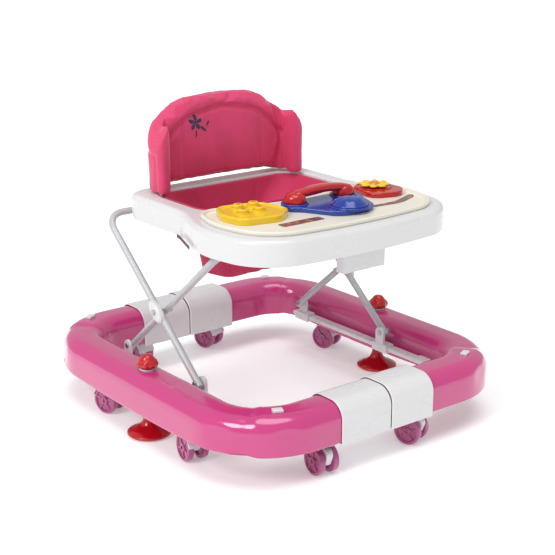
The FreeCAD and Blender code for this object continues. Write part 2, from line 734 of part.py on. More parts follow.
def hub_pin():
    return pivot_pin(FRAME_B_X - TUBE_R - HUB_PIN_INSET, FRAME_A_X + TUBE_R + HUB_COVER_PROUD, HUB_Y, HUB_Z)


# ---------------------------------------------------------------- seat table
def table_corners(inset):
    """Outline of the table: a broad rounded tray in front and two arms that run back."""
    return mirrored_corners([
        (0, TABLE_FRONT + inset, TABLE_NOSE_R),
        (TABLE_HALF_WIDTH - TABLE_FRONT_IN - inset, TABLE_FRONT + TABLE_FRONT_BACK + inset, TABLE_FRONT_R - inset),
        (TABLE_HALF_WIDTH - inset, TABLE_SIDE_Y, TABLE_SIDE_R - inset),
        (ARM_HALF_WIDTH - inset, ARM_FRONT_Y, ARM_FRONT_R + inset),
        (ARM_HALF_WIDTH - inset, TABLE_REAR - inset, ARM_REAR_R - inset),
    ])


def seat_corners(grow):
    """Outline of the seat opening, bowed forward at the child's middle."""
    return mirrored_corners([
        (0, SEAT_FRONT - SEAT_BOW - grow, SEAT_BOW_R + grow),
        (SEAT_HALF_WIDTH + grow, SEAT_FRONT - grow, SEAT_CORNER + grow),
        (SEAT_HALF_WIDTH + grow, SEAT_REAR + grow, SEAT_CORNER + grow),
    ])


def table_shell():
    """Moulded table: a top with a skirt round its outside and a lip round the seat opening."""
    block = plate(table_corners(0), SKIRT_Z, TABLE_TOP)
    rim = [e for e in block.Edges if e.BoundBox.ZMin > TABLE_TOP - 0.1]
    block = block.makeFillet(TABLE_ROUND, rim)
    under = plate(table_corners(TABLE_WALL), SKIRT_Z - 1, TABLE_TOP - TABLE_WALL)
    seat_lip = plate(seat_corners(TABLE_WALL), TABLE_TOP - SEAT_LIP, TABLE_TOP - 1)
    under = cut(under, seat_lip)
    return cut(block, under, plate(seat_corners(0), SKIRT_Z - 5, TABLE_TOP + 5))


def rear_clips():
    """Two clips on the table's rear skirt that the rear crossbar turns in."""
    reach = TUBE_R + CLIP_WALL
    x0 = CLIP_X - CLIP_WIDTH / 2
    x1 = CLIP_X + CLIP_WIDTH / 2
    block = fuse(box(x0, x1, TABLE_REAR, REAR_BAR_Y, TOP_BAR_Z - reach, TOP_BAR_Z + reach),
                 rod_x(x0, x1, REAR_BAR_Y, TOP_BAR_Z, reach))
    return both_sides(cut(block, rod_x(x0 - 1, x1 + 1, REAR_BAR_Y, TOP_BAR_Z, TUBE_R + RUN_FIT)))


def height_racks():
    """Two racks under the table whose scallops take the front crossbar."""
    low = TOP_BAR_Z + TUBE_R + RACK_CLEAR
    blade = box(RACK_X - RACK_THICK / 2, RACK_X + RACK_THICK / 2, RACK_FRONT, RACK_REAR,
                low, TABLE_TOP - TABLE_WALL)
    scallops = [rod_x(RACK_X - RACK_THICK, RACK_X + RACK_THICK, FRONT_BAR_Y + RACK_PITCH * (1 - i),
                      TOP_BAR_Z, TUBE_R + SCALLOP_ROOM) for i in range(RACK_NOTCHES)]
    return both_sides(cut(blade, *scallops))


def height_adjuster():
    """Pull grip under the front of the table, with the latch plate that it draws forward."""
    half = ADJUSTER_WIDTH / 2
    y0 = ADJUSTER_Y
    y1 = ADJUSTER_Y + ADJUSTER_DEPTH
    low = SKIRT_Z - ADJUSTER_DROP
    plate_z = TABLE_TOP - LATCH_DROP
    wall = ADJUSTER_WALL
    x1 = half - wall
    bend = ADJUSTER_ROUND
    inner_bend = bend - wall
    corners = [(-half, y0, bend), (half, y0, bend), (half, y1, bend), (-half, y1, bend)]
    inner = [(-x1, y0 + wall, inner_bend), (x1, y0 + wall, inner_bend), (x1, y1 - wall, inner_bend),
             (-x1, y1 - wall, inner_bend)]
    grip = cut(plate(corners, low, plate_z), plate(inner, low + wall, plate_z - wall))
    latch = box(-half + LATCH_INSET, half - LATCH_INSET, y0 + LATCH_INSET / 2, RACK_REAR, plate_z - wall, plate_z)
    return fuse(grip, latch)


# ---------------------------------------------------------------- toys
def tray_corners(inset):
    """Outline of the toy tray, hollowed at the rear to follow the seat opening."""
    return mirrored_corners([
        (0, TRAY_FRONT + inset, TABLE_NOSE_R),
        (TRAY_HALF_WIDTH - TRAY_FRONT_IN - inset, TRAY_FRONT + TRAY_FRONT_BACK + inset, TRAY_FRONT_R - inset),
        (TRAY_HALF_WIDTH - inset, TRAY_SIDE_Y, TRAY_SIDE_R - inset),
        (TRAY_HALF_WIDTH - TRAY_REAR_IN - inset * 0.8, TRAY_REAR_Y - inset * 0.9, TRAY_REAR_R - inset),
        (0, SEAT_FRONT - SEAT_BOW - TRAY_HOLLOW_GAP - inset, TRAY_HOLLOW_R),
    ])


def toy_tray():
    dish = plate(tray_corners(0), TRAY_Z, TRAY_Z + TRAY_RIM)
    return cut(dish, plate(tray_corners(TRAY_RIM_WIDTH), TOY_Z, TRAY_Z + TRAY_RIM + 1))


def keypad_plate():
    body = plate(KEYPAD_CORNERS, TOY_Z, TOY_Z + KEYPAD_PLATE)
    return cut(body, *[rod(x, y, TOY_Z - 1, KEY_R + KEY_FIT, CUT_PAST) for x, y in KEY_SPOTS])


def keypad_key(x, y):
    low = TOY_Z + KEYPAD_PLATE + KEY_PROUD - KEY_HEIGHT
    key = rod(x, y, low, KEY_R, KEY_HEIGHT)
    return key.makeFillet(KEY_ROUND, [e for e in key.Edges if e.BoundBox.ZMin > low + KEY_HEIGHT - 0.1])


def phone_cradle():
    body = plate(CRADLE_CORNERS, TOY_Z, TOY_Z + TOY_PLATE)
    pin = rod(DIAL_SPOT[0], DIAL_SPOT[1], TOY_Z, TOY_PIN_R, TOY_PLATE + DIAL_PIN)
    return fuse(body, pin)


def handset():
    """Toy telephone handset: two cups under a handle."""
    x, y = HANDSET_SPOT
    low = TOY_Z + TOY_PLATE + SLIDE_FIT
    reach = HANDSET_LENGTH / 2 - HANDSET_CUP_R
    cups = [rod(x + s * reach, y, low, HANDSET_CUP_R, HANDSET_CUP) for s in (-1, 1)]
    handle = box(x - reach - HANDLE_PAST, x + reach + HANDLE_PAST, y - HANDLE_HALF, y + HANDLE_HALF,
                 low + HANDLE_LOW, low + HANDLE_HIGH)
    edges = [e for e in handle.Edges if e.Length > 2 * reach]
    return fuse(handle.makeFillet(HANDLE_ROUND, edges), *cups)


def dial():
    """Blue dome that spins on the cradle's pin."""
    x, y = DIAL_SPOT
    low = TOY_Z + TOY_PLATE + SLIDE_FIT
    ball_r = DIAL_R * DIAL_CROWN
    ball = Part.makeSphere(ball_r, Vector(x, y, low + DIAL_HEIGHT - ball_r))
    dome = ball.common(rod(x, y, low, DIAL_R, 2 * DIAL_HEIGHT))
    return cut(dome, rod(x, y, low - 1, TOY_PIN_R + RUN_FIT, DIAL_PIN + 1))


def flower_plate():
    x, y = FLOWER_SPOT
    return fuse(plate(FLOWER_CORNERS, TOY_Z, TOY_Z + TOY_PLATE), rod(x, y, TOY_Z, TOY_PIN_R, TOY_PLATE + FLOWER_PIN))


def flower():
    x, y = FLOWER_SPOT
    low = TOY_Z + TOY_PLATE + SLIDE_FIT
    petals = []
    for i in range(PETALS):
        angle = 2 * math.pi * i / PETALS
        petals.append(rod(x + FLOWER_R * 0.68 * math.cos(angle), y + FLOWER_R * 0.68 * math.sin(angle),
                          low, FLOWER_R * 0.32, PETAL_HEIGHT))
    disc = rod(x, y, low, FLOWER_R * 0.72, FLOWER_HEIGHT)
    return cut(fuse(disc, *petals), rod(x, y, low - 1, TOY_PIN_R + RUN_FIT, FLOWER_PIN + 1))


# ---------------------------------------------------------------- soft parts
def backrest_pad():
    """Padded back that wraps forward round the child's sides."""
    low = TABLE_TOP + SOFT_GAP
    inner = BACK_HALF_WIDTH - BACK_THICK
    inner_bend = BACK_BEND - BACK_THICK
    outer = [(BACK_HALF_WIDTH, BACK_FRONT, BACK_WING_R), (BACK_HALF_WIDTH, BACK_REAR, BACK_BEND),
             (-BACK_HALF_WIDTH, BACK_REAR, BACK_BEND), (-BACK_HALF_WIDTH, BACK_FRONT, BACK_WING_R),
             (-inner, BACK_FRONT, BACK_WING_R), (-inner, BACK_REAR - BACK_THICK, inner_bend),
             (inner, BACK_REAR - BACK_THICK, inner_bend), (inner, BACK_FRONT, BACK_WING_R)]
    wall = plate(outer, low, low + BACK_HEIGHT)
    edge = BACK_HALF_WIDTH + 2
    side_z = low + BACK_HEIGHT * ARCH_SIDE
    shoulder_x = edge * ARCH_SHOULDER_X
    shoulder_z = low + BACK_HEIGHT * ARCH_SHOULDER
    arch = [(-edge, low - 1, 0), (edge, low - 1, 0), (edge, side_z, ARCH_SIDE_R),
            (shoulder_x, shoulder_z, ARCH_SHOULDER_R), (0, low + BACK_HEIGHT * ARCH_TOP, ARCH_TOP_R),
            (-shoulder_x, shoulder_z, ARCH_SHOULDER_R), (-edge, side_z, ARCH_SIDE_R)]
    face = Part.Face(rounded_path([(Vector(x, 0, z), radius) for x, z, radius in arch], True))
    outline = face.extrude(Vector(0, 2 * BACK_REAR, 0))
    return wall.common(outline)


def sling_wire(half_width, front, rear, z, radius):
    corners = [(-half_width, front), (half_width, front), (half_width, rear), (-half_width, rear)]
    return rounded_path([(Vector(x, y, z), radius) for x, y in corners], True)


def sling_solid(inset):
    """Outer or inner form of the hanging seat, from the table's opening down to the crotch."""
    gap = SOFT_GAP + inset
    half = SEAT_HALF_WIDTH - gap
    bend = SEAT_CORNER - gap
    top = sling_wire(half, SEAT_FRONT + gap, SEAT_REAR - gap, TABLE_TOP - SLING_SINK + inset, bend)
    waist = sling_wire(half - SLING_WAIST_IN, SEAT_FRONT + SLING_WAIST_FRONT + gap,
                       SEAT_REAR - SLING_WAIST_REAR - gap, SKIRT_Z - SLING_WAIST_DROP, bend)
    foot = sling_wire(half - SLING_FOOT_IN, SEAT_FRONT + SLING_FOOT_FRONT + gap,
                      SEAT_REAR - SLING_FOOT_REAR - gap, SLING_BOTTOM + inset, SLING_FOOT_R)
    return Part.makeLoft([top, waist, foot], True, True)


def seat_sling():
    """Fabric seat: a hanging tub with two leg holes in its lower front."""
    tub = cut(sling_solid(0), sling_solid(SLING_WALL))
    holes = []
    for side in (-1, 1):
        x0, x1 = sorted((side * LEG_HOLE_IN, side * (LEG_HOLE_IN + LEG_HOLE_WIDTH)))
        z0 = SLING_BOTTOM + LEG_HOLE_LIFT
        z1 = z0 + LEG_HOLE_HEIGHT
        corners = [(x0, z0, LEG_HOLE_LOW_R), (x1, z0, LEG_HOLE_LOW_R), (x1, z1, LEG_HOLE_HIGH_R),
                   (x0, z1, LEG_HOLE_HIGH_R)]
        hole = Part.Face(rounded_path([(Vector(x, 0, z), radius) for x, z, radius in corners], True))
        hole.translate(Vector(0, SEAT_FRONT - CUT_PAST, 0))
        holes.append(hole.extrude(Vector(0, SLING_FOOT_FRONT + 2 * CUT_PAST, 0)))
    return cut(tub, *holes)


def seat_straps():
    """Two webbing straps that hook under the skirt beside the tray."""
    low = SKIRT_Z + STRAP_LIFT
    outer = plate(table_corners(-SLIDE_FIT - STRAP_THICK), low, low + STRAP_WIDTH)
    inner = plate(table_corners(-SLIDE_FIT), low - 1, low + STRAP_WIDTH + 1)
    beside = box(0, 2 * TABLE_HALF_WIDTH, STRAP_FRONT, STRAP_REAR, low - 1, low + STRAP_WIDTH + 1)
    return both_sides(cut(outer, inner).common(beside))


# ---------------------------------------------------------------- the parts
def pieces():
    """Every node of the walker, by name."""
    nodes = {
        "base_half_left": base_half(1),
        "base_half_right": base_half(-1),
        "front_sleeve": sleeve(-1, FRONT_SLEEVE_START, SEAM_X, 0),
        "front_collar": sleeve(-1, SEAM_X, FRONT_COLLAR_END, COLLAR_STEP),
        "rear_sleeve": sleeve(1, REAR_SLEEVE_START, SEAM_X, 0),
        "rear_collar": sleeve(1, SEAM_X, REAR_COLLAR_END, COLLAR_STEP),
        "corner_caps": corner_caps(),
        "base_screws": base_screws(),
        "rail_left": rail(),
        "rail_right": mirror_x(rail()),
    }
    rear_bracket = bracket(REAR_PIVOT_Y, ear_outboard_x(), 0)
    front_shoe = bracket(FRONT_PIVOT_Y, ear_inboard_x(), SLIDE_FIT)
    nodes["rear_bracket_left"] = rear_bracket
    nodes["rear_bracket_right"] = mirror_x(rear_bracket)
    nodes["rear_pivot_pins"] = both_sides(pivot_pin(
        FRAME_B_X - TUBE_R - EAR_ROOM, ear_outboard_x() + EAR_THICK, REAR_PIVOT_Y, PIVOT_Z))
    nodes["front_shoe_left"] = front_shoe
    nodes["front_shoe_right"] = mirror_x(front_shoe)
    nodes["shoe_pins"] = both_sides(pivot_pin(
        ear_inboard_x(), FRAME_A_X + TUBE_R + EAR_ROOM, FRONT_PIVOT_Y, PIVOT_Z))
    for name, x, y, turn in CASTER_SPOTS:
        nodes["caster_fork_" + name] = place_caster(caster_fork(), x, y, turn)
        nodes["caster_wheels_" + name] = place_caster(caster_wheels(), x, y, turn)
    nodes["stopper_foot_left"] = stopper_foot()
    nodes["stopper_foot_right"] = mirror_x(stopper_foot())
    nodes["stopper_knob_left"] = stopper_knob()
    nodes["stopper_knob_right"] = mirror_x(stopper_knob())
    nodes["stopper_bushes"] = both_sides(stopper_bush())
    nodes["tube_frame_a"] = frame_a()
    nodes["tube_frame_b"] = frame_b()
    nodes["hub_cover_left"] = hub_cover()
    nodes["hub_cover_right"] = mirror_x(hub_cover())
    nodes["hub_pins"] = both_sides(hub_pin())
    nodes["table_shell"] = table_shell()
    nodes["rear_clips"] = rear_clips()
    nodes["height_racks"] = height_racks()
    nodes["height_adjuster"] = height_adjuster()
    nodes["toy_tray"] = toy_tray()
    nodes["keypad_plate"] = keypad_plate()
    for number, (x, y) in enumerate(KEY_SPOTS, 1):
        nodes["keypad_key_%d" % number] = keypad_key(x, y)
    nodes["phone_cradle"] = phone_cradle()
    nodes["handset"] = handset()
    nodes["dial"] = dial()
    nodes["flower_plate"] = flower_plate()
    nodes["flower"] = flower()
    nodes["backrest_pad"] = backrest_pad()
    nodes["seat_sling"] = seat_sling()
    nodes["seat_straps"] = seat_straps()
    return nodes


os.makedirs("parts", exist_ok=True)
for node_name, node_shape in pieces().items():
    print(node_name, "valid" if node_shape.isValid() else "NOT VALID", len(node_shape.Solids),
          round(node_shape.Volume / 1000, 1))
    node_shape.exportStep("parts/" + node_name + ".step")
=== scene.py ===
"""Looks of a baby walker: a glossy pink ring base on casters, a white seat table and padded fabric.

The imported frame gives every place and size.  Lengths are in metres, +Z is up, the child faces -Y.
"""
import json
import math

import bmesh
import bpy
from mathutils import Matrix, Vector, noise
from mathutils.bvhtree import BVHTree

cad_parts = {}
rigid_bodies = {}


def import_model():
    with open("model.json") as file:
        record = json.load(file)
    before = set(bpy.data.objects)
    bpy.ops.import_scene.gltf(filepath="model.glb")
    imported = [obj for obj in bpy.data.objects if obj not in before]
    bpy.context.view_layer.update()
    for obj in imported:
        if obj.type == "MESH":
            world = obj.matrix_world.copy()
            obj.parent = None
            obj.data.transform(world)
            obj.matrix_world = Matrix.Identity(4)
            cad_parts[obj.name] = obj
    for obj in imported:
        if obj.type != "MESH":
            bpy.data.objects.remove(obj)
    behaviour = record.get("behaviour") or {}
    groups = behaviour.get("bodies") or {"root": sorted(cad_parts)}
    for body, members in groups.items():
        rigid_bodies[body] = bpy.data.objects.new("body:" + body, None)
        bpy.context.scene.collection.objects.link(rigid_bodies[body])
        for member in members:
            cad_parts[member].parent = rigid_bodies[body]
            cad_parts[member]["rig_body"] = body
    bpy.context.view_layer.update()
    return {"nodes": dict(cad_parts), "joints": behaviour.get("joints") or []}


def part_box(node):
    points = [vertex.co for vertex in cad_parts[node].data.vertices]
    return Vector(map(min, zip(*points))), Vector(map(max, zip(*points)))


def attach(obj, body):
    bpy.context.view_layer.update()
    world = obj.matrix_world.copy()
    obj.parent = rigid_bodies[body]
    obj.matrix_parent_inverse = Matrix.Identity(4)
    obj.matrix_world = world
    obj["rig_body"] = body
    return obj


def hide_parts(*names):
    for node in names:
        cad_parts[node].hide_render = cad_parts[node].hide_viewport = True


bl_info = {
    "name": "Baby Walker",
    "version": (1, 0, 0),
    "blender": (4, 5, 0),
    "location": "3D View > Sidebar > Walker",
    "description": "Builds the visible pieces of a baby walker around its packed frame",
    "category": "Object",
}

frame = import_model()
MM = 0.001
X_AXIS = Vector((1, 0, 0))
Y_AXIS = Vector((0, 1, 0))
Z_AXIS = Vector((0, 0, 1))


def joint(name):
    return next(j for j in frame["joints"] if j["name"] == name)


def linear(code):
    """An sRGB hex code as linear red, green and blue."""
    parts = [int(code[i:i + 2], 16) / 255 for i in (1, 3, 5)]
    return tuple(c / 12.92 if c <= 0.04045 else ((c + 0.055) / 1.055) ** 2.4 for c in parts)


# ---------------------------------------------------------------- sizes and colours
def colour_property(label, code, words):
    return bpy.props.FloatVectorProperty(
        name=label, description=words, subtype="COLOR", size=3, min=0, max=1, default=linear(code))


def length_property(label, value, words):
    return bpy.props.FloatProperty(name=label, description=words, default=value, unit="LENGTH", precision=4)


class WalkerColours(bpy.types.PropertyGroup):
    """Colours of the walker's finishes."""
    pink: colour_property("Base pink", "#C83A7E", "Moulded ring base")
    white: colour_property("White", "#DEDEDF", "Table, sleeves and brackets")
    cream: colour_property("Cream", "#EBE6D8", "Toy tray")
    # Tube: a grey darker than the white powder coat; the shade on the thin tubes is painted into this
    # colour.
    tube: colour_property("Tube", "#BCBDC1", "Powder coat on the frames")
    red: colour_property("Red", "#BE0C17", "Stoppers, handset and toy plate")
    yellow: colour_property("Yellow", "#F0C81E", "Keypad and flower")
    blue: colour_property("Blue", "#16389A", "Phone cradle and dome")
    wheel: colour_property("Wheel", "#C65A96", "Caster wheels")
    hood: colour_property("Caster hood", "#DCDADF", "Caster housings")
    fabric: colour_property("Fabric", "#D83C6C", "Backrest cover")
    lining: colour_property("Lining", "#BE2A56", "Seat sling")
    # Webbing: the dark maroon matches the seat fabric seen in shade under the skirt, so painted shade is
    # part of this colour.
    webbing: colour_property("Webbing", "#5A1428", "Seat straps")
    amber: colour_property("Amber", "#D9861C", "Key marks and flower centre")
    motif: colour_property("Motif", "#2C2348", "Embroidered blossom")
    thread: colour_property("Sewing thread", "#C23A66", "Stitches on the backrest")


class WalkerSizes(bpy.types.PropertyGroup):
    """Sizes that the frame doesn't hold."""
    tube_radius: length_property("Tube radius", 6.5 * MM, "Outer radius of both bent frames")
    tube_bend: length_property("Tube bend", 34 * MM, "Bend radius at the ends of each crossbar")
    ring_wall: length_property("Ring wall", 3 * MM, "Wall of the moulded base")
    swell: length_property("End swell", 2.5 * MM, "How far the base ends stand proud of its sides")
    voxel: length_property("Voxel", 5 * MM, "Voxel size of the simulated pads")
    puff: length_property("Puff", 9 * MM, "Most that a pad may swell")
    thread: length_property("Thread", 1.3 * MM, "Thread spacing of the weave, drawn coarse enough to show")


# ---------------------------------------------------------------- materials
def add(tree, kind, links=None, **settings):
    """Adds one node with its settings and its linked or plain inputs."""
    node = tree.nodes.new(kind)
    for key, value in settings.items():
        setattr(node, key, value)
    for socket, value in (links or {}).items():
        if isinstance(value, bpy.types.NodeSocket):
            tree.links.new(value, node.inputs[socket])
        else:
            node.inputs[socket].default_value = value
    return node


def new_material(name):
    """A material with its shader, output and object coordinates."""
    material = bpy.data.materials.new(name)
    material.use_nodes = True
    tree = material.node_tree
    tree.nodes.clear()
    shader = add(tree, "ShaderNodeBsdfPrincipled")
    add(tree, "ShaderNodeOutputMaterial", {"Surface": shader.outputs["BSDF"]})
    place = add(tree, "ShaderNodeTexCoord").outputs["Object"]
    return material, tree, shader, place


def shades(tree, factor, colour, dark, light):
    """A ramp between a darker and a lighter shade of one colour."""
    ramp = add(tree, "ShaderNodeValToRGB", {"Fac": factor})
    ramp.color_ramp.elements[0].color = [c * dark for c in colour] + [1]
    ramp.color_ramp.elements[1].color = [min(1, c * light) for c in colour] + [1]
    return ramp.outputs["Color"]


def moulded(name, colour, roughness=0.22, coat=0.35, grain=0.9 * MM, depth=0.02, spread=0.05, clear=0.0):
    """Injection-moulded plastic: even colour with faint flow marks and a skin that is nearly smooth."""
    material, tree, shader, place = new_material(name)
    flow = add(tree, "ShaderNodeTexNoise", {"Vector": place, "Scale": 14, "Detail": 3})
    skin = add(tree, "ShaderNodeTexNoise", {"Vector": place, "Scale": 1 / grain, "Detail": 2})
    tree.links.new(shades(tree, flow.outputs["Fac"], colour, 1 - spread, 1 + spread),
                   shader.inputs["Base Color"])
    worn = add(tree, "ShaderNodeMapRange", {"Value": flow.outputs["Fac"], "From Min": 0.3, "From Max": 0.7,
                                            "To Min": roughness * 0.8, "To Max": roughness * 1.25})
    tree.links.new(worn.outputs["Result"], shader.inputs["Roughness"])
    bump = add(tree, "ShaderNodeBump",
               {"Height": skin.outputs["Fac"], "Strength": depth, "Distance": 0.3 * MM})
    tree.links.new(bump.outputs["Normal"], shader.inputs["Normal"])
    shader.inputs["IOR"].default_value = 1.49
    shader.inputs["Coat Weight"].default_value = coat
    shader.inputs["Coat Roughness"].default_value = 0.08
    shader.inputs["Transmission Weight"].default_value = clear
    return material


def powder_coated(name, colour):
    """Powder coat on steel tube: semi-gloss with a fine orange-peel surface."""
    material, tree, shader, place = new_material(name)
    peel = add(tree, "ShaderNodeTexNoise", {"Vector": place, "Scale": 1 / (2.2 * MM), "Detail": 2})
    tone = add(tree, "ShaderNodeTexNoise", {"Vector": place, "Scale": 25, "Detail": 2})
    tree.links.new(shades(tree, tone.outputs["Fac"], colour, 0.94, 1.03), shader.inputs["Base Color"])
    bump = add(tree, "ShaderNodeBump",
               {"Height": peel.outputs["Fac"], "Strength": 0.12, "Distance": 0.2 * MM})
    tree.links.new(bump.outputs["Normal"], shader.inputs["Normal"])
    shader.inputs["Roughness"].default_value = 0.3
    shader.inputs["Coat Weight"].default_value = 0.25
    return material


def zinc_plated(name):
    """Bright zinc-plated steel: small turned fasteners with a soft brushed shine."""
    material, tree, shader, place = new_material(name)
    brushed = add(tree, "ShaderNodeTexNoise", {"Vector": place, "Scale": 900, "Detail": 2})
    tree.links.new(shades(tree, brushed.outputs["Fac"], linear("#B9BBC0"), 0.85, 1.1),
                   shader.inputs["Base Color"])
    worn = add(tree, "ShaderNodeMapRange", {"Value": brushed.outputs["Fac"], "To Min": 0.22, "To Max": 0.4})
    tree.links.new(worn.outputs["Result"], shader.inputs["Roughness"])
    shader.inputs["Metallic"].default_value = 1.0
    return material


def woven(name, colour, thread, sheen=0.35, roughness=0.62, depth=0.35):
    """Woven polyester cover: crossed threads, a soft sheen and slightly uneven dye."""
    material, tree, shader, place = new_material(name)
    across = add(tree, "ShaderNodeTexWave", {"Vector": place, "Scale": 1 / thread / 6.2, "Distortion": 0.6,
                                             "Detail": 1}, bands_direction="X")
    upward = add(tree, "ShaderNodeTexWave", {"Vector": place, "Scale": 1 / thread / 6.2, "Distortion": 0.6,
                                             "Detail": 1}, bands_direction="Z")
    crossed = add(tree, "ShaderNodeMath", {0: across.outputs["Fac"], 1: upward.outputs["Fac"]},
                  operation="MAXIMUM")
    dye = add(tree, "ShaderNodeTexNoise", {"Vector": place, "Scale": 18, "Detail": 4})
    mixed = add(tree, "ShaderNodeMath", {0: crossed.outputs[0], 1: 0.35, 2: dye.outputs["Fac"]},
                operation="MULTIPLY_ADD")
    tree.links.new(shades(tree, mixed.outputs[0], colour, 0.72, 1.12), shader.inputs["Base Color"])
    bump = add(tree, "ShaderNodeBump",
               {"Height": crossed.outputs[0], "Strength": depth, "Distance": 0.25 * MM})
    tree.links.new(bump.outputs["Normal"], shader.inputs["Normal"])
    shader.inputs["Roughness"].default_value = roughness
    shader.inputs["Sheen Weight"].default_value = sheen
    shader.inputs["Sheen Roughness"].default_value = 0.4
    return material


def printed_film(name, stripe_length):
    """Printed film label: generic coloured blocks on a dark strip under a clear skin."""
    material, tree, shader, place = new_material(name)
    blocks = add(tree, "ShaderNodeTexVoronoi", {"Vector": place, "Scale": 1 / stripe_length})
    ramp = add(tree, "ShaderNodeValToRGB", {"Fac": blocks.outputs["Distance"]})
    ramp.color_ramp.elements[0].color = (*linear("#C8B24A"), 1)
    ramp.color_ramp.elements[1].color = (*linear("#3A3F38"), 1)
    ramp.color_ramp.elements.new(0.35).color = (*linear("#8E4A40"), 1)
    tree.links.new(ramp.outputs["Color"], shader.inputs["Base Color"])
    shader.inputs["Roughness"].default_value = 0.3
    shader.inputs["Coat Weight"].default_value = 0.4
    return material


FINISHES = {}


def make_finishes(colours, sizes):
    """One material for each finish, kept under the record's slot name."""
    FINISHES.update(
        # polypropylene, injection-moulded and glossy: broad soft highlights on strong pink
        pink_gloss=moulded("Polypropylene moulded pink", colours.pink, 0.2, 0.9, 1.2 * MM, 0.03, 0.05),
        # ABS, injection-moulded: clean white with a light sheen
        white_gloss=moulded("ABS moulded white", colours.white, 0.28, 0.25, 0.9 * MM, 0.02, 0.006),
        # polystyrene, vacuum-formed: warm white, a touch softer
        cream_tray=moulded("Polystyrene formed cream", colours.cream, 0.34, 0.15, 1.1 * MM, 0.03, 0.03),
        # the tube grey is partly painted shade: darker than the white powder coat of the frames
        white_tube=powder_coated("Steel tube powder coated", colours.tube),
        steel=zinc_plated("Steel zinc plated"),
        red_gloss=moulded("Polypropylene moulded red", colours.red, 0.2, 0.45, 1.0 * MM, 0.02, 0.06),
        yellow_gloss=moulded("Polypropylene moulded yellow", colours.yellow, 0.24, 0.35, 1.0 * MM, 0.02,
                             0.05),
        blue_gloss=moulded("Polypropylene moulded blue", colours.blue, 0.2, 0.45, 1.0 * MM, 0.02, 0.08),
        # tinted polystyrene, moulded: light passes some way into the wheel
        wheel_pink=moulded("Polystyrene moulded tinted", colours.wheel, 0.16, 0.5, 1.0 * MM, 0.02, 0.1,
                           0.35),
        hood_white=moulded("ABS moulded grey white", colours.hood, 0.24, 0.3, 0.9 * MM, 0.02, 0.03),
        crimson_fabric=woven("Polyester woven crimson", colours.fabric, sizes.thread),
        lining=woven("Polyester woven lining", colours.lining, sizes.thread, 0.2, 0.75),
        # webbing colour holds painted shade: it is as dark as the seat fabric in shadow
        maroon_webbing=woven("Polypropylene webbing maroon with painted shade", colours.webbing, 1.6 * MM, 0.2, 0.7, 0.5),
        print_film=printed_film("Polyester film printed", 14 * MM),
        amber_print=moulded("Polypropylene moulded amber", colours.amber, 0.3, 0.3, 1.0 * MM, 0.02, 0.05),
        motif_thread=woven("Rayon thread embroidered navy", colours.motif, 0.9 * MM, 0.5, 0.5, 0.6),
        seam_thread=woven("Polyester thread sewn", colours.thread, 0.9 * MM, 0.3, 0.6, 0.4),
    )


# ---------------------------------------------------------------- mesh helpers
def subdivide(piece, levels):
    rounder = piece.modifiers.new("Round", "SUBSURF")
    rounder.levels = levels
    rounder.render_levels = levels


def outward_score(bm):
    """Positive when the faces point away from the middle of the mesh."""
    middle = sum((v.co for v in bm.verts), Vector()) / len(bm.verts)
    return sum(f.normal.dot(f.calc_center_median() - middle) * f.calc_area() for f in bm.faces)


def finish_piece(name, bm, finish, body, replaces=(), wall=0.0, bevel=0.0, angle=32, levels=0):
    """Turns a bmesh into a named piece with its finish, modifiers and body."""
    bmesh.ops.remove_doubles(bm, verts=bm.verts, dist=1e-6)
    bmesh.ops.recalc_face_normals(bm, faces=bm.faces)
    bm.normal_update()
    if wall and outward_score(bm) < 0:
        bmesh.ops.reverse_faces(bm, faces=bm.faces)
    mesh = bpy.data.meshes.new(name)
    bm.to_mesh(mesh)
    bm.free()
    mesh.shade_smooth()
    mesh.set_sharp_from_angle(angle=math.radians(angle))
    piece = bpy.data.objects.new(name, mesh)
    bpy.context.scene.collection.objects.link(piece)
    mesh.materials.append(FINISHES[finish])
    if wall:
        shell = piece.modifiers.new("Wall", "SOLIDIFY")
        shell.thickness = wall
        shell.offset = -1
    if bevel:
        edge = piece.modifiers.new("Edges", "BEVEL")
        edge.width = bevel
        edge.segments = 3
        edge.limit_method = "ANGLE"
        edge.angle_limit = math.radians(angle)
    if levels:
        subdivide(piece, levels)
    else:
        even = piece.modifiers.new("Normals", "WEIGHTED_NORMAL")
        even.keep_sharp = True
    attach(piece, body)
    if replaces:
        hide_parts(*replaces)
    return piece


def loop_at(bm, corners, z):
    """A closed loop of edges from (x, y, radius) corners, each rounded by a vertex bevel."""
    before = set(bm.edges)
    verts = [bm.verts.new((x, y, z)) for x, y, radius in corners]
    places = [v.co.copy() for v in verts]
    bm.faces.new(verts)
    for i, (x, y, radius) in enumerate(corners):
        back = (places[i - 1] - places[i]).normalized()
        ahead = (places[(i + 1) % len(places)] - places[i]).normalized()
        half = back.angle(ahead) / 2
        steps = max(3, int((math.pi - 2 * half) / math.radians(6)))
        bmesh.ops.bevel(bm, geom=[verts[i]], offset=radius / math.tan(half), offset_type="OFFSET",
                        affect="VERTICES", segments=steps, profile=0.5, material=-1)
    edges = [e for e in bm.edges if e not in before]
    for face in {f for e in edges for f in e.link_faces}:
        bm.faces.remove(face)
    return edges


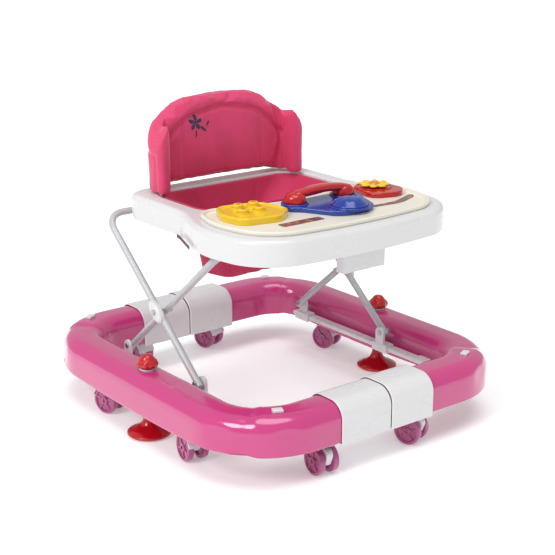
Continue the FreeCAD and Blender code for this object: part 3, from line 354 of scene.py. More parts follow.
def inset_corners(corners, inset):
    """The same outline moved inwards; each radius shrinks or grows with it."""
    area = sum(a[0] * b[1] - b[0] * a[1] for a, b in zip(corners, corners[1:] + corners[:1]))
    side = 1 if area > 0 else -1
    moved = []
    for i, (x, y, radius) in enumerate(corners):
        here = Vector((x, y))
        back = (here - Vector(corners[i - 1][:2])).normalized()
        ahead = (Vector(corners[(i + 1) % len(corners)][:2]) - here).normalized()
        normal = Vector((-back.y, back.x)) * side
        inward = (normal + Vector((-ahead.y, ahead.x)) * side).normalized()
        place = here + inward * inset / max(0.3, inward.dot(normal))
        convex = (back.x * ahead.y - back.y * ahead.x) * side > 0
        moved.append((place.x, place.y, max(0.4 * MM, radius - inset if convex else radius + inset)))
    return moved


def bridge(bm, loops):
    for first, second in zip(loops, loops[1:]):
        bmesh.ops.bridge_loops(bm, edges=first + second)


def cap(bm, edges):
    bmesh.ops.contextual_create(bm, geom=edges)


def block(bm, corners, low, high, soft=1.5 * MM):
    """A closed plate with rounded rims; gives back its new vertices."""
    before = set(bm.verts)
    loops = []
    for share in (0, 0.3, 0.65, 1):
        turned = share * math.pi / 2
        loops.append(loop_at(bm, inset_corners(corners, soft * (1 - math.sin(turned))),
                             low + soft * (1 - math.cos(turned))))
    for share in (1, 0.65, 0.3, 0):
        turned = share * math.pi / 2
        loops.append(loop_at(bm, inset_corners(corners, soft * (1 - math.sin(turned))),
                             high - soft * (1 - math.cos(turned))))
    bridge(bm, loops)
    cap(bm, loops[0])
    cap(bm, loops[-1])
    return [v for v in bm.verts if v not in before]


def section_loop(bm, points, closed=True):
    """Edges through a list of points."""
    verts = [bm.verts.new(p) for p in points]
    pairs = list(zip(verts, verts[1:] + verts[:1])) if closed else list(zip(verts, verts[1:]))
    return [bm.edges.new(pair) for pair in pairs]


def push(bm, edges, vector, steps=1):
    """Extrudes a loop of edges along a vector in steps and gives back the far loop."""
    for _ in range(steps):
        made = bmesh.ops.extrude_edge_only(bm, edges=edges)["geom"]
        bmesh.ops.translate(bm, verts=[g for g in made if isinstance(g, bmesh.types.BMVert)],
                            vec=vector / steps)
        edges = [g for g in made if isinstance(g, bmesh.types.BMEdge)]
    return edges


def turn(bm, edges, centre, axis, angle, steps):
    """Spins a loop of edges about an axis and gives back the far loop."""
    verts = {v for e in edges for v in e.verts}
    made = bmesh.ops.spin(bm, geom=edges + list(verts), cent=centre, axis=axis, angle=angle, steps=steps,
                          use_merge=False, use_duplicate=False)
    return [g for g in made["geom_last"] if isinstance(g, bmesh.types.BMEdge)]


def lathe(bm, points, steps=40, place=Matrix()):
    """A turned shape from (radius, height) points about Z, then moved; gives back its vertices."""
    before = set(bm.verts)
    edges = section_loop(bm, [Vector((r, 0, z)) for r, z in points], False)
    verts = {v for e in edges for v in e.verts}
    bmesh.ops.spin(bm, geom=edges + list(verts), cent=(0, 0, 0), axis=(0, 0, 1), angle=2 * math.pi,
                   steps=steps,
                   use_merge=True, use_duplicate=False)
    made = [v for v in bm.verts if v not in before]
    bmesh.ops.remove_doubles(bm, verts=made, dist=1e-6)
    made = [v for v in bm.verts if v not in before]
    bmesh.ops.transform(bm, matrix=place, verts=made)
    return made


def arc(centre, radius, start, end, steps):
    """Points (a, b) of an arc, angles in degrees."""
    turns = [math.radians(start + (end - start) * i / steps) for i in range(steps + 1)]
    return [(centre[0] + radius * math.cos(t), centre[1] + radius * math.sin(t)) for t in turns]


def smooth_step(low, high, value):
    t = max(0.0, min(1.0, (value - low) / (high - low)))
    return t * t * (3 - 2 * t)


def mirrored(half):
    """Corners of a symmetric outline from its +X half, which runs from front to rear."""
    middle = [c for c in half if c[0] == 0]
    sides = [c for c in half if c[0] != 0]
    return middle[:1] + sides + middle[1:] + [(-x, y, r) for x, y, r in reversed(sides)]


def in_mm(corners):
    return [tuple(c * MM for c in corner) for corner in corners]


def from_node(node, finish, bevel=0.0, angle=35, name=None):
    """A merged copy of a CAD node with softened edges."""
    bm = bmesh.new()
    bm.from_mesh(frame["nodes"][node].data)
    bmesh.ops.remove_doubles(bm, verts=bm.verts, dist=0.02 * MM)
    bmesh.ops.dissolve_limit(bm, angle_limit=math.radians(1.5), verts=bm.verts, edges=bm.edges)
    return finish_piece(name or node + "_part", bm, finish, node_body(node), [node], bevel=bevel,
                        angle=angle)


def node_body(node):
    return frame["nodes"][node]["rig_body"]


# ---------------------------------------------------------------- base ring
HALF_BAND = 39 * MM
SWELL = 2.5 * MM
SLEEVE_PROUD = 3.2 * MM
END_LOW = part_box("front_sleeve")[0].z + SLEEVE_PROUD
RING_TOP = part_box("front_sleeve")[1].z - SLEEVE_PROUD - SWELL
SIDE_LOW = END_LOW - 6 * MM
SIDE_RISE = 8 * MM
SIDE_X = joint("stopper_turn_left")["pos_m"][0]
END_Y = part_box("base_half_left")[1].y - HALF_BAND - SWELL
CORNER_R = 106 * MM
CORNER_X = SIDE_X - CORNER_R
CORNER_Y = END_Y - CORNER_R
SEAM_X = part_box("front_sleeve")[1].x


def band_section(half, low, high, top_round, closed):
    """Section of the band as (across, height) points, outer foot first."""
    middle = (low + high) / 2
    points = [(half, low), (half, low + 3 * MM), (half, low + 12 * MM), (half, middle)]
    points += arc((half - top_round, high - top_round), top_round, 0, 90, 8)
    points += arc((-half + top_round, high - top_round), top_round, 90, 180, 8)
    points += [(-half, middle), (-half, low + 12 * MM), (-half, low + 3 * MM), (-half, low)]
    if closed:
        points += [(-half + 8 * MM, low - 0.1 * MM), (half - 8 * MM, low - 0.1 * MM)]
    return points


def band_place(co):
    """Where a point of the band lies: 0 at the sides to 1 at the ends, the way out, and how far across."""
    side = math.copysign(1, co.x)
    end = math.copysign(1, co.y)
    if abs(co.y) <= CORNER_Y:
        return 0.0, Vector((side, 0, 0)), abs(co.x) - SIDE_X
    if abs(co.x) <= CORNER_X:
        return 1.0, Vector((0, end, 0)), abs(co.y) - END_Y
    offset = Vector((co.x - side * CORNER_X, co.y - end * CORNER_Y, 0))
    return math.atan2(abs(offset.y),
                      abs(offset.x)) / (math.pi / 2), offset.normalized(), offset.length - CORNER_R


def swell_ends(bm, amount):
    """Thickens both ends past the middle of each corner, with a clear step there."""
    rocker = CORNER_Y + CORNER_R / 2
    for v in bm.verts:
        share, outward, across = band_place(v.co)
        step = smooth_step(0.46, 0.54, share)
        v.co += outward * amount * step * (across / HALF_BAND)
        v.co.z += amount * step * smooth_step(SIDE_LOW + 30 * MM, RING_TOP, v.co.z)
        if v.co.z < END_LOW + 1 * MM:
            side_low = SIDE_LOW + SIDE_RISE * (v.co.y / rocker) ** 2
            v.co.z = END_LOW * step + side_low * (1 - step)


def relief(bm, centre, along, half_long, half_wide, depth):
    """Sinks a shallow oval dish with a soft rim into the band."""
    for v in bm.verts:
        offset = v.co - centre
        lengthwise = offset.dot(along)
        reach = math.hypot(lengthwise / half_long, (offset - along * lengthwise).length / half_wide)
        if reach < 1:
            v.co -= v.normal * depth * (1 - smooth_step(0.6, 1.0, reach))


def ring_half(side, sizes):
    """One C-shaped half of the base, swept round its path from seam to seam."""
    bm = bmesh.new()
    points = band_section(HALF_BAND, END_LOW, RING_TOP, 28 * MM, False)
    seam = SEAM_X * side
    reach = CORNER_X - seam
    edges = section_loop(bm, [Vector((seam, -END_Y - a, z)) for a, z in points], False)
    edges = push(bm, edges, X_AXIS * reach, 18)
    edges = turn(bm, edges, Vector((CORNER_X, -CORNER_Y, 0)), Z_AXIS, math.pi / 2, 28)
    edges = push(bm, edges, Y_AXIS * 2 * CORNER_Y, 44)
    edges = turn(bm, edges, Vector((CORNER_X, CORNER_Y, 0)), Z_AXIS, math.pi / 2, 28)
    push(bm, edges, X_AXIS * -reach, 18)
    bmesh.ops.remove_doubles(bm, verts=bm.verts, dist=1e-6)
    swell_ends(bm, sizes.swell)
    bm.normal_update()
    if outward_score(bm) < 0:
        bmesh.ops.reverse_faces(bm, faces=bm.faces)
        bm.normal_update()
    for end in (-1, 1):
        for degrees, height, out, half_long in ((68, 98, 37, 24), (22, 96, 37, 24), (45, 121, 4, 22)):
            angle = math.radians(degrees)
            way = Vector((math.cos(angle), end * math.sin(angle), 0))
            spot = Vector((CORNER_X, end * CORNER_Y, height * MM)) + way * (CORNER_R + out * MM)
            relief(bm, spot, Vector((-way.y, way.x, 0)), half_long * MM, 13 * MM, 2.2 * MM)
    if side < 0:
        bmesh.ops.scale(bm, vec=(-1, 1, 1), verts=bm.verts)
    word = "left" if side > 0 else "right"
    return finish_piece("base_shell_" + word, bm, "pink_gloss", "base", ["base_half_" + word],
                        wall=sizes.ring_wall, levels=1, angle=60)


def under_bosses():
    """Bosses that hold the caster stems and the stoppers inside the open underside."""
    bm = bmesh.new()
    spots = [joint(j["name"])["pos_m"] for j in frame["joints"] if j["name"].startswith("swivel_")]
    profile = [(5.2 * MM, END_LOW + 1 * MM), (10.4 * MM, END_LOW + 1 * MM), (11 * MM, END_LOW + 1.6 * MM),
               (12 * MM, RING_TOP - 3.5 * MM)]
    for spot in list(spots) + [(SIDE_X, 0), (-SIDE_X, 0)]:
        wide = 1.25 if abs(spot[1]) < 1 * MM else 1.0
        place = Matrix.Translation((spot[0], spot[1], 0)) @ Matrix.Diagonal((wide, wide, 1, 1))
        lathe(bm, profile, 24, place)
    return finish_piece("base_bosses", bm, "pink_gloss", "base")


def band_sleeve(node):
    """A white sleeve round the ring, rolled over at both ends."""
    low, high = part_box(node)
    half = (high.y - low.y) / 2
    middle_y = (high.y + low.y) / 2
    middle_z = (high.z + low.z) / 2
    points = band_section(half, low.z, high.z, 31 * MM, True)
    bm = bmesh.new()
    rings = []
    roll = 2.2 * MM
    ends = [(low.x + roll * (1 - math.cos(t)), roll * (1 - math.sin(t))) for t in (0, 0.4, 0.9,
                                                                                   math.pi / 2)]
    ends += [(high.x - x + low.x, sunk) for x, sunk in reversed(ends)]
    for x, sunk in ends:
        share = 1 - sunk / half
        rings.append(section_loop(bm, [Vector((x, middle_y + a * share, middle_z + (z - middle_z) * share))
                                       for a, z in points]))
    bridge(bm, rings)
    return finish_piece(node + "_cover", bm, "white_gloss", "base", [node], wall=2.2 * MM, angle=50)


# ---------------------------------------------------------------- casters and stoppers
CASTERS = [j["name"][len("swivel_"):] for j in frame["joints"] if j["name"].startswith("swivel_")]
TRAIL = 10 * MM
WHEEL_R = 25 * MM
SPREAD = 14 * MM


def caster_place(name):
    """From a caster at the origin, trailing to -Y, to its own place and turn."""
    axis = joint("roll_" + name)["axis"]
    spot = joint("swivel_" + name)["pos_m"]
    return Matrix.Translation((spot[0], spot[1], 0)) @ Matrix.Rotation(math.atan2(axis[1], axis[0]), 4, "Z")


def along_x(verts, bm):
    """Turns a plate drawn in (y, z, x) into its upright place."""
    bmesh.ops.transform(bm, matrix=Matrix(((0, 0, 1, 0), (1, 0, 0, 0), (0, 1, 0, 0), (0, 0, 0, 1))),
                        verts=verts)


def caster_fork(name):
    """White housing: a web between the wheels, a hood over them and a steel-cored stem."""
    bm = bmesh.new()
    web = in_mm([(-27, 17, 9), (-4, 17, 8), (7.5, 22, 8), (7.5, 51, 5), (-10, 53.4, 24), (-38, 46, 12)])
    along_x(block(bm, web, -6.6 * MM, 6.6 * MM, 1.4 * MM), bm)
    edge = [(-20, 26.6), (-19.4, 28), (-17.5, 28.5), (-8, 28.7), (8, 28.7), (17.5, 28.5), (19.4, 28),
            (20, 26.6)]
    hood = section_loop(bm, [Vector((x * MM, 0, r * MM)) for x, r in edge] +
                        [Vector((19 * MM, 0, 26.5 * MM)), Vector((-19 * MM, 0, 26.5 * MM))])
    start = {v for e in hood for v in e.verts}
    bmesh.ops.rotate(bm, cent=(0, 0, 0), matrix=Matrix.Rotation(math.radians(-76), 3, "X"),
                     verts=list(start))
    cap(bm, hood)
    far = turn(bm, hood, Vector(), X_AXIS, math.radians(104), 18)
    cap(bm, far)
    bmesh.ops.translate(bm, verts=list(joined_to(start)), vec=(0, -TRAIL, WHEEL_R))
    lathe(bm, in_mm([(0, 50), (9, 50), (9.5, 52), (7, 53.6), (5, 54.5), (5, 93), (4, 95), (0, 95)]), 24)
    hub = Matrix.Translation((-7 * MM, -TRAIL, WHEEL_R)) @ Matrix.Rotation(math.pi / 2, 4, "Y")
    lathe(bm, in_mm([(3.1, 0), (6, 0), (6, 14), (3.1, 14)]), 20, hub)
    bmesh.ops.transform(bm, matrix=caster_place(name), verts=bm.verts)
    return finish_piece("caster_housing_" + name, bm, "hood_white", "caster_" + name,
                        ["caster_fork_" + name],
                        angle=40)


def joined_to(start):
    """Every vertex joined to the given ones."""
    found = set(start)
    edge = list(start)
    while edge:
        v = edge.pop()
        for e in v.link_edges:
            other = e.other_vert(v)
            if other not in found:
                found.add(other)
                edge.append(other)
    return found


def caster_wheel_pair(name):
    """Two dished wheels with spokes on one axle."""
    bm = bmesh.new()
    tyre = in_mm([(3, -6), (8, -6), (8.5, -3.2), (18, -3.2), (18.8, -6), (22.5, -6), (24.4, -5),
                  (25, -3), (25, 3),
                  (24.4, 5), (22.5, 6), (19.6, 6), (18.6, 3.4), (8.2, 3.4), (7.4, 6), (5.5, 6.6), (3, 6.6)])
    for side in (-1, 1):
        place = (Matrix.Translation((side * SPREAD, -TRAIL,
                                     WHEEL_R)) @ Matrix.Rotation(side * math.pi / 2, 4, "Y"))
        lathe(bm, tyre, 40, place)
        for spoke in range(5):
            bar = block(bm, in_mm([(7, -1.6, 0.6), (19, -2.4, 0.6), (19, 2.4, 0.6), (7, 1.6, 0.6)]),
                        3 * MM, 5.2 * MM, 0.6 * MM)
            bmesh.ops.transform(bm, matrix=place @ Matrix.Rotation(math.radians(72 * spoke), 4, "Z"),
                                verts=bar)
    axle = Matrix.Translation((-SPREAD - 5 * MM, -TRAIL, WHEEL_R)) @ Matrix.Rotation(math.pi / 2, 4, "Y")
    lathe(bm, in_mm([(0, 0), (3, 0), (3, 38), (0, 38)]), 16, axle)
    bmesh.ops.transform(bm, matrix=caster_place(name), verts=bm.verts)
    return finish_piece("caster_wheel_pair_" + name, bm, "wheel_pink", "wheels_" + name,
                        ["caster_wheels_" + name], angle=40)


def stopper(side):
    """Red bell foot on its stem, and the ribbed knob that winds it down."""
    word = "left" if side > 0 else "right"
    place = Matrix.Translation((side * SIDE_X, 0, 0))
    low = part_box("stopper_foot_" + word)[0].z / MM
    bm = bmesh.new()
    lathe(bm, in_mm([(0, low + 1), (30, low + 1), (33, low), (38.5, low), (40, low + 1.5), (40, low + 4),
                     (38.6, low + 5.6), (36, low + 6.6), (34, low + 8.6), (28, low + 11.5), (20, low + 15),
                     (14.5, low + 19.5), (11.8, low + 25), (11, low + 29), (10, low + 31), (10, low + 35),
                     (9, low + 36), (6, low + 36), (6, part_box("stopper_foot_" + word)[1].z / MM - 1),
                     (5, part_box("stopper_foot_" + word)[1].z / MM),
                     (0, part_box("stopper_foot_" + word)[1].z / MM)]), 56, place)
    finish_piece("stopper_bell_" + word, bm, "red_gloss", "stopper_" + word, ["stopper_foot_" + word],
                 angle=50)
    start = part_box("stopper_knob_" + word)[0].z / MM
    bm = bmesh.new()
    verts = lathe(bm, in_mm([(6.1, start), (15, start), (18, start + 1), (19.4, start + 3), (20, start + 6),
                             (19.2, start + 9), (16.6, start + 12), (13.6, start + 14.5),
                             (11.4, start + 17.5),
                             (9.4, start + 20.4), (6, start + 22.3), (0, start + 23)]), 64, place)
    for v in verts:
        offset = v.co - Vector((side * SIDE_X, 0, v.co.z))
        rim = smooth_step(start + 1, start + 5,
                          v.co.z / MM) * (1 - smooth_step(start + 9, start + 14, v.co.z / MM))
        wave = 0.5 - 0.5 * math.cos(8 * math.atan2(offset.y, offset.x))
        v.co -= offset * 0.13 * rim * wave
    return finish_piece("stopper_grip_" + word, bm, "red_gloss", "stopper_knob_" + word,
                        ["stopper_knob_" + word], angle=60)


# ---------------------------------------------------------------- crossed frames
def bent_frame(name, node, foot, bar, sizes):
    """A U of powder-coated tube: two legs and a crossbar, with closed ends."""
    radius = sizes.tube_radius
    leg_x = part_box(node)[1].x - radius
    slope = (bar - foot).normalized()
    start = Vector((-leg_x, foot.y, foot.z)) - slope * (radius + 2 * MM)
    corner = Vector((-leg_x, bar.y, bar.z))
    bend = sizes.tube_bend
    side_axis = slope.cross(X_AXIS)
    bm = bmesh.new()
    facing = Matrix.Translation(start) @ Z_AXIS.rotation_difference(slope).to_matrix().to_4x4()
    circle = bmesh.ops.create_circle(bm, segments=28, radius=radius, matrix=facing)["verts"]
    first = list({e for v in circle for e in v.link_edges})
    leg = (corner - start).length - bend
    edges = push(bm, first, slope * leg, 6)
    edges = turn(bm, edges, start + slope * leg + X_AXIS * bend, side_axis, math.pi / 2, 12)
    edges = push(bm, edges, X_AXIS * 2 * (leg_x - bend), 6)
    edges = turn(bm, edges, Vector((leg_x - bend, bar.y, bar.z)) - slope * bend, side_axis, math.pi / 2, 12)
    last = push(bm, edges, -slope * leg, 6)
    for rim in (first, last):
        cap(bm, rim)
        bmesh.ops.bevel(bm, geom=rim, offset=2 * MM, offset_type="OFFSET", affect="EDGES", segments=3,
                        profile=0.5,
                        material=-1)
    return finish_piece(name, bm, "white_tube", node_body(node), [node], angle=50)


def hub_dome(side):
    """Oval cover over the crossing, its long axis along the leg that it clips to."""
    word = "left" if side > 0 else "right"
    low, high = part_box("hub_cover_" + word)
    hub = Vector(joint("scissor")["pos_m"])
    along = (Vector(joint("table_level")["pos_m"]) - Vector(joint("shoe_level")["pos_m"])).normalized()
    across = X_AXIS.cross(along)
    base_x = low.x if side > 0 else high.x
    bm = bmesh.new()
    loops = []
    for rise, share in ((0, 0.98), (0.5, 1), (6, 1), (8, 0.97), (9.4, 0.9), (10.2, 0.8), (10.5, 0.68)):
        centre = Vector((base_x + side * rise * MM, hub.y, hub.z))
        circle = bmesh.ops.create_circle(bm, segments=40, radius=share * MM)["verts"]
        for v in circle:
            v.co = centre + along * v.co.x * 24 + across * v.co.y * 13
        loops.append(list({e for v in circle for e in v.link_edges}))
    bridge(bm, loops)
    cap(bm, loops[0])
    cap(bm, loops[-1])
    return finish_piece("hub_dome_" + word, bm, "white_gloss", "frame_a", ["hub_cover_" + word], angle=50)


# ---------------------------------------------------------------- seat table
TABLE_LOW, TABLE_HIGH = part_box("table_shell")
TABLE_TOP = TABLE_HIGH.z
SEAT_HALF = 165 * MM
SEAT_FRONT = -30 * MM
SEAT_REAR = 148 * MM
SEAT_BOW = 44 * MM


def table_corners():
    """Outline of the table: a broad rounded tray in front and two arms that run back."""
    wide = TABLE_HIGH.x
    arm = wide - 44 * MM
    front = TABLE_LOW.y
    return mirrored([(0, front, 900 * MM), (wide - 27 * MM, front + 23 * MM, 95 * MM),
                     (wide, -120 * MM, 150 * MM), (arm, -5 * MM, 120 * MM), (arm, TABLE_HIGH.y, 50 * MM)])


def seat_corners():
    return mirrored([(0, SEAT_FRONT - SEAT_BOW, 200 * MM), (SEAT_HALF, SEAT_FRONT, 45 * MM),
                     (SEAT_HALF, SEAT_REAR, 45 * MM)])


def table_cover():
    """Moulded table: a deep skirt, a rolled top edge and a lip round the seat opening."""
    bm = bmesh.new()
    outer = table_corners()
    roll = 11 * MM
    skirt = [(2.2 * MM, TABLE_LOW.z), (1.2 * MM, TABLE_LOW.z + 0.6 * MM), (1 * MM, TABLE_LOW.z + 3 * MM),
             (0.2 * MM, TABLE_LOW.z + 14 * MM), (0, TABLE_TOP - roll - 4 * MM)]
    skirt += [(roll * (1 - math.cos(t)), TABLE_TOP - roll * (1 - math.sin(t)))
              for t in [math.pi / 2 * i / 7 for i in range(8)]]
    skirt_loops = [loop_at(bm, inset_corners(outer, inset), z) for inset, z in skirt]
    bridge(bm, skirt_loops)
    lip = [(4 * MM * (1 - math.sin(t)), TABLE_TOP - 4 * MM * (1 - math.cos(t)))
           for t in [math.pi / 2 * i / 5 for i in range(6)]] + [(0, TABLE_TOP - 19 * MM)]
    lip_loops = [loop_at(bm, inset_corners(seat_corners(), -grow), z) for grow, z in lip]
    bridge(bm, lip_loops)
    bmesh.ops.triangle_fill(bm, use_beauty=True, use_dissolve=False, edges=skirt_loops[-1] + lip_loops[0],
                            normal=(0, 0, 1))
    return finish_piece("table_cover", bm, "white_gloss", "table", ["table_shell"], wall=2.8 * MM, angle=50)


def toy_tray():
    """Cream tray with a rounded rim, standing on a thin shadow gap."""
    low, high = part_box("toy_tray")
    wide = high.x
    front = low.y
    outline = mirrored([(0, front, 900 * MM), (wide - 24 * MM, front + 22 * MM, 85 * MM),
                        (wide, -127 * MM, 120 * MM), (wide - 28 * MM, -34 * MM, 40 * MM),
                        (0, SEAT_FRONT - SEAT_BOW - 14 * MM, 240 * MM)])
    bm = bmesh.new()
    rim = [(1.4, 0.2), (1.4, 1.2), (0.3, 1.8), (0, 3), (0, 5.4), (0.5, 6.8), (1.6, 7.7), (3, 8), (4.4, 7.9),
           (5.8, 7.1), (6.6, 5.8), (7.2, 4.2), (8.4, 3.3), (10, 3)]
    loops = [loop_at(bm, inset_corners(outline, inset * MM), low.z + rise * MM) for inset, rise in rim]
    bridge(bm, loops)
    cap(bm, loops[0])
    cap(bm, loops[-1])
    return finish_piece("tray_dish", bm, "cream_tray", "table", ["toy_tray"], angle=50)


# ---------------------------------------------------------------- toys
TOY_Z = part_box("keypad_plate")[0].z
KEY_SPOTS = in_mm([(-137, -88), (-106, -90), (-150, -120), (-118, -122)])
DIAL_SPOT = Vector(joint("dial_spin")["pos_m"])
FLOWER_SPOT = Vector(joint("flower_spin")["pos_m"])
HANDSET_LOW, HANDSET_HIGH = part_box("handset")


def keypad():
    """Yellow plate with a raised border round four keys."""
    corners = in_mm([(-182, -160, 22), (-110, -176, 26), (-68, -142, 22), (-79, -80, 18), (-118, -66, 24),
                     (-165, -58, 22), (-190, -112, 36)])
    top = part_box("keypad_plate")[1].z
    bm = bmesh.new()
    rim = [(0.8, TOY_Z), (0, TOY_Z + 1 * MM), (0, top - 3 * MM), (0.9, top - 0.9 * MM), (3, top), (5, top),
           (6.6, top - 0.8 * MM), (7.4, top - 2.2 * MM)]
    loops = [loop_at(bm, inset_corners(corners, inset * MM if inset > 0.01 else 0), z) for inset, z in rim]
    bridge(bm, loops)
    cap(bm, loops[0])
    cap(bm, loops[-1])
    for x, y in KEY_SPOTS:
        lathe(bm, [(10.2 * MM, top - 2.6 * MM), (10.4 * MM, top - 0.4 * MM), (11.4 * MM, top + 0.2 * MM),
                   (12.6 * MM, top - 0.4 * MM), (13 * MM, top - 2.6 * MM)], 40,
                   Matrix.Translation((x, y, 0)))
    finish_piece("keypad_body", bm, "yellow_gloss", "table", ["keypad_plate"], angle=50)
    marks = {1: 3, 2: 4, 3: 5, 4: 24}
    for number, (x, y) in enumerate(KEY_SPOTS, 1):
        node = "keypad_key_%d" % number
        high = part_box(node)[1].z
        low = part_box(node)[0].z
        place = Matrix.Translation((x, y, 0))
        bm = bmesh.new()
        lathe(bm, [(0, low), (9.5 * MM, low), (9.5 * MM, high - 2.4 * MM), (8.9 * MM, high - 0.9 * MM),
                   (7.4 * MM, high), (5 * MM, high - 0.3 * MM), (0, high - 0.8 * MM)], 36, place)
        finish_piece("keypad_button_%d" % number, bm, "yellow_gloss", "key_%d" % number, [node], angle=50)
        bm = bmesh.new()
        turns = [2 * math.pi * i / marks[number] + math.pi / 2 for i in range(marks[number])]
        shape = [(4.6 * MM * math.cos(t), 4.6 * MM * math.sin(t), 0.8 * MM) for t in turns]
        verts = block(bm, shape, high - 1 * MM, high + 0.3 * MM, 0.3 * MM)
        bmesh.ops.transform(bm, matrix=place, verts=verts)
        finish_piece("keypad_mark_%d" % number, bm, "amber_print", "key_%d" % number, angle=50)


def cradle():
    """Blue telephone cradle with a ring for each cup and one round the dome."""
    corners = in_mm([(-44, -150, 18), (-12, -214, 34), (70, -214, 34), (90, -158, 20), (103, -134, 16),
                     (99, -96, 16), (-58, -96, 16), (-62, -134, 16)])
    top = TOY_Z + 9 * MM
    bm = bmesh.new()
    block(bm, corners, TOY_Z, top, 3 * MM)
    ring = [(0, -1), (0, 1.4), (0.8, 2.4), (2, 2.6), (3.2, 2.2), (3.8, 1), (3.8, -1)]
    reach = (HANDSET_HIGH.x - HANDSET_LOW.x) / 2 - 20 * MM
    middle = (HANDSET_HIGH + HANDSET_LOW) / 2
    for x, y, radius in ((middle.x - reach, middle.y, 20.6 * MM), (middle.x + reach, middle.y, 20.6 * MM),
                         (DIAL_SPOT.x, DIAL_SPOT.y, 32.8 * MM)):
        lathe(bm, [(radius + r * MM, top + z * MM) for r, z in ring], 48, Matrix.Translation((x, y, 0)))
    finish_piece("cradle_body", bm, "blue_gloss", "table", ["phone_cradle"], angle=50)


def handset():
    """Red handset: a gently arched handle between two cups."""
    middle = (HANDSET_HIGH + HANDSET_LOW) / 2
    reach = (HANDSET_HIGH.x - HANDSET_LOW.x) / 2 - 20 * MM
    low = HANDSET_LOW.z
    bm = bmesh.new()
    cup = [(0, 1.5), (13, 1.5), (15, 0), (18, 0.2), (19.6, 1.8), (20, 5), (19.4, 10), (17.4, 14.5),
           (13, 18),
           (6, 19.6), (0, 20)]
    for side in (-1, 1):
        lathe(bm, [(r * MM, low + z * MM) for r, z in cup], 40,
              Matrix.Translation((middle.x + side * reach, middle.y, 0)))
    rings = []
    for i in range(25):
        t = -1 + i / 12
        x = middle.x + t * (reach + 10 * MM)
        centre_z = low + (12.5 + 6.5 * math.cos(t * math.pi / 2) ** 0.8) * MM
        thin = 1 - 0.75 * smooth_step(0.86, 1.0, abs(t))
        rings.append(section_loop(bm, [
            Vector((x, middle.y + 12.5 * MM * math.copysign(abs(math.cos(a)) ** 0.75, math.cos(a)) * thin,
                    centre_z + 7 * MM * math.copysign(abs(math.sin(a)) ** 0.75, math.sin(a)) * thin))
            for a in [2 * math.pi * k / 28 for k in range(28)]]))
    bridge(bm, rings)
    cap(bm, rings[0])
    cap(bm, rings[-1])
    return finish_piece("handset_body", bm, "red_gloss", "handset", ["handset"], angle=50)


def dial_dome():
    """Blue dome with stepped rings and eight thumb dimples."""
    low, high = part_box("dial")
    bm = bmesh.new()
    shape = [(0, 0.4), (31, 0.4), (32, 1.2), (32, 3), (31, 4.4), (28.4, 5.4), (27.8, 7), (25.6, 9),
             (22.6, 10.8),
             (21.8, 12.2), (18.4, 13.8), (12, 15.2), (9.6, 15.2), (8, 15.6), (4, 16), (0, 16)]
    tall = (high.z - low.z) / MM / 16
    verts = lathe(bm, [(r * MM, low.z + z * tall * MM) for r, z in shape], 64,
                  Matrix.Translation((DIAL_SPOT.x, DIAL_SPOT.y, 0)))
    for v in verts:
        offset = Vector((v.co.x - DIAL_SPOT.x, v.co.y - DIAL_SPOT.y))
        band = math.exp(-((offset.length - 17 * MM) / (4 * MM)) ** 2)
        v.co.z -= 1.6 * MM * band * max(0, math.cos(8 * math.atan2(offset.y, offset.x)))
    return finish_piece("dial_dome", bm, "blue_gloss", "dial", ["dial"], angle=60)


def flower_toy():
    """Red plate with a spinning yellow flower and an amber centre."""
    corners = in_mm([(114, -148, 24), (170, -168, 30), (200, -140, 26), (199, -88, 26), (176, -64, 24),
                     (128, -76, 22)])
    bm = bmesh.new()
    block(bm, corners, TOY_Z, TOY_Z + 9 * MM, 3 * MM)
    lathe(bm, [(31 * MM, TOY_Z + 8 * MM), (31 * MM, TOY_Z + 10 * MM), (32.4 * MM, TOY_Z + 10.6 * MM),
               (33.8 * MM, TOY_Z + 10 * MM), (33.8 * MM, TOY_Z + 8 * MM)], 48,
          Matrix.Translation((FLOWER_SPOT.x, FLOWER_SPOT.y, 0)))
    finish_piece("flower_base", bm, "red_gloss", "table", ["flower_plate"], angle=50)
    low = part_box("flower")[0].z
    bm = bmesh.new()
    for i in range(8):
        petal = bmesh.ops.create_uvsphere(bm, u_segments=20, v_segments=12, radius=1)["verts"]
        for v in petal:
            narrow = 0.62 + 0.38 * smooth_step(-1, 0.5, v.co.x)
            v.co = Vector((v.co.x * 12, v.co.y * 7.6 * narrow, v.co.z * 3.4 + 0.9 * v.co.x)) * MM
        place = (Matrix.Translation((FLOWER_SPOT.x, FLOWER_SPOT.y, low + 4 * MM)) @
                 Matrix.Rotation(math.radians(45 * i), 4, "Z") @ Matrix.Translation((17.6 * MM, 0, 0)))
        bmesh.ops.transform(bm, matrix=place, verts=petal)
    finish_piece("flower_petals", bm, "yellow_gloss", "flower", ["flower"], angle=60)
    bm = bmesh.new()
    lathe(bm,
          [(0, low + 0.5 * MM), (10 * MM, low + 0.5 * MM), (10.6 * MM, low + 5 * MM),
           (9 * MM, low + 7.6 * MM),
               (5 * MM, low + 8.8 * MM), (0, low + 9 * MM)], 36,
          Matrix.Translation((FLOWER_SPOT.x, FLOWER_SPOT.y, 0)))
    finish_piece("flower_centre", bm, "amber_print", "flower", angle=50)


def printed_strips():
    """Two thin printed labels on the tray floor."""
    floor = TOY_Z
    bm = bmesh.new()
    block(bm, in_mm([(-129, -206, 4), (-41, -206, 4), (-41, -186, 4), (-129, -186, 4)]),
          floor, floor + 0.5 * MM, 0.15 * MM)
    block(bm, in_mm([(79, -196, 4), (140, -201, 60), (186, -182, 8), (198, -169, 4), (190, -164, 4),
                     (138, -186, 60), (82, -184, 4)]), floor, floor + 0.5 * MM, 0.15 * MM)
    return finish_piece("tray_labels", bm, "print_film", "table", angle=50)


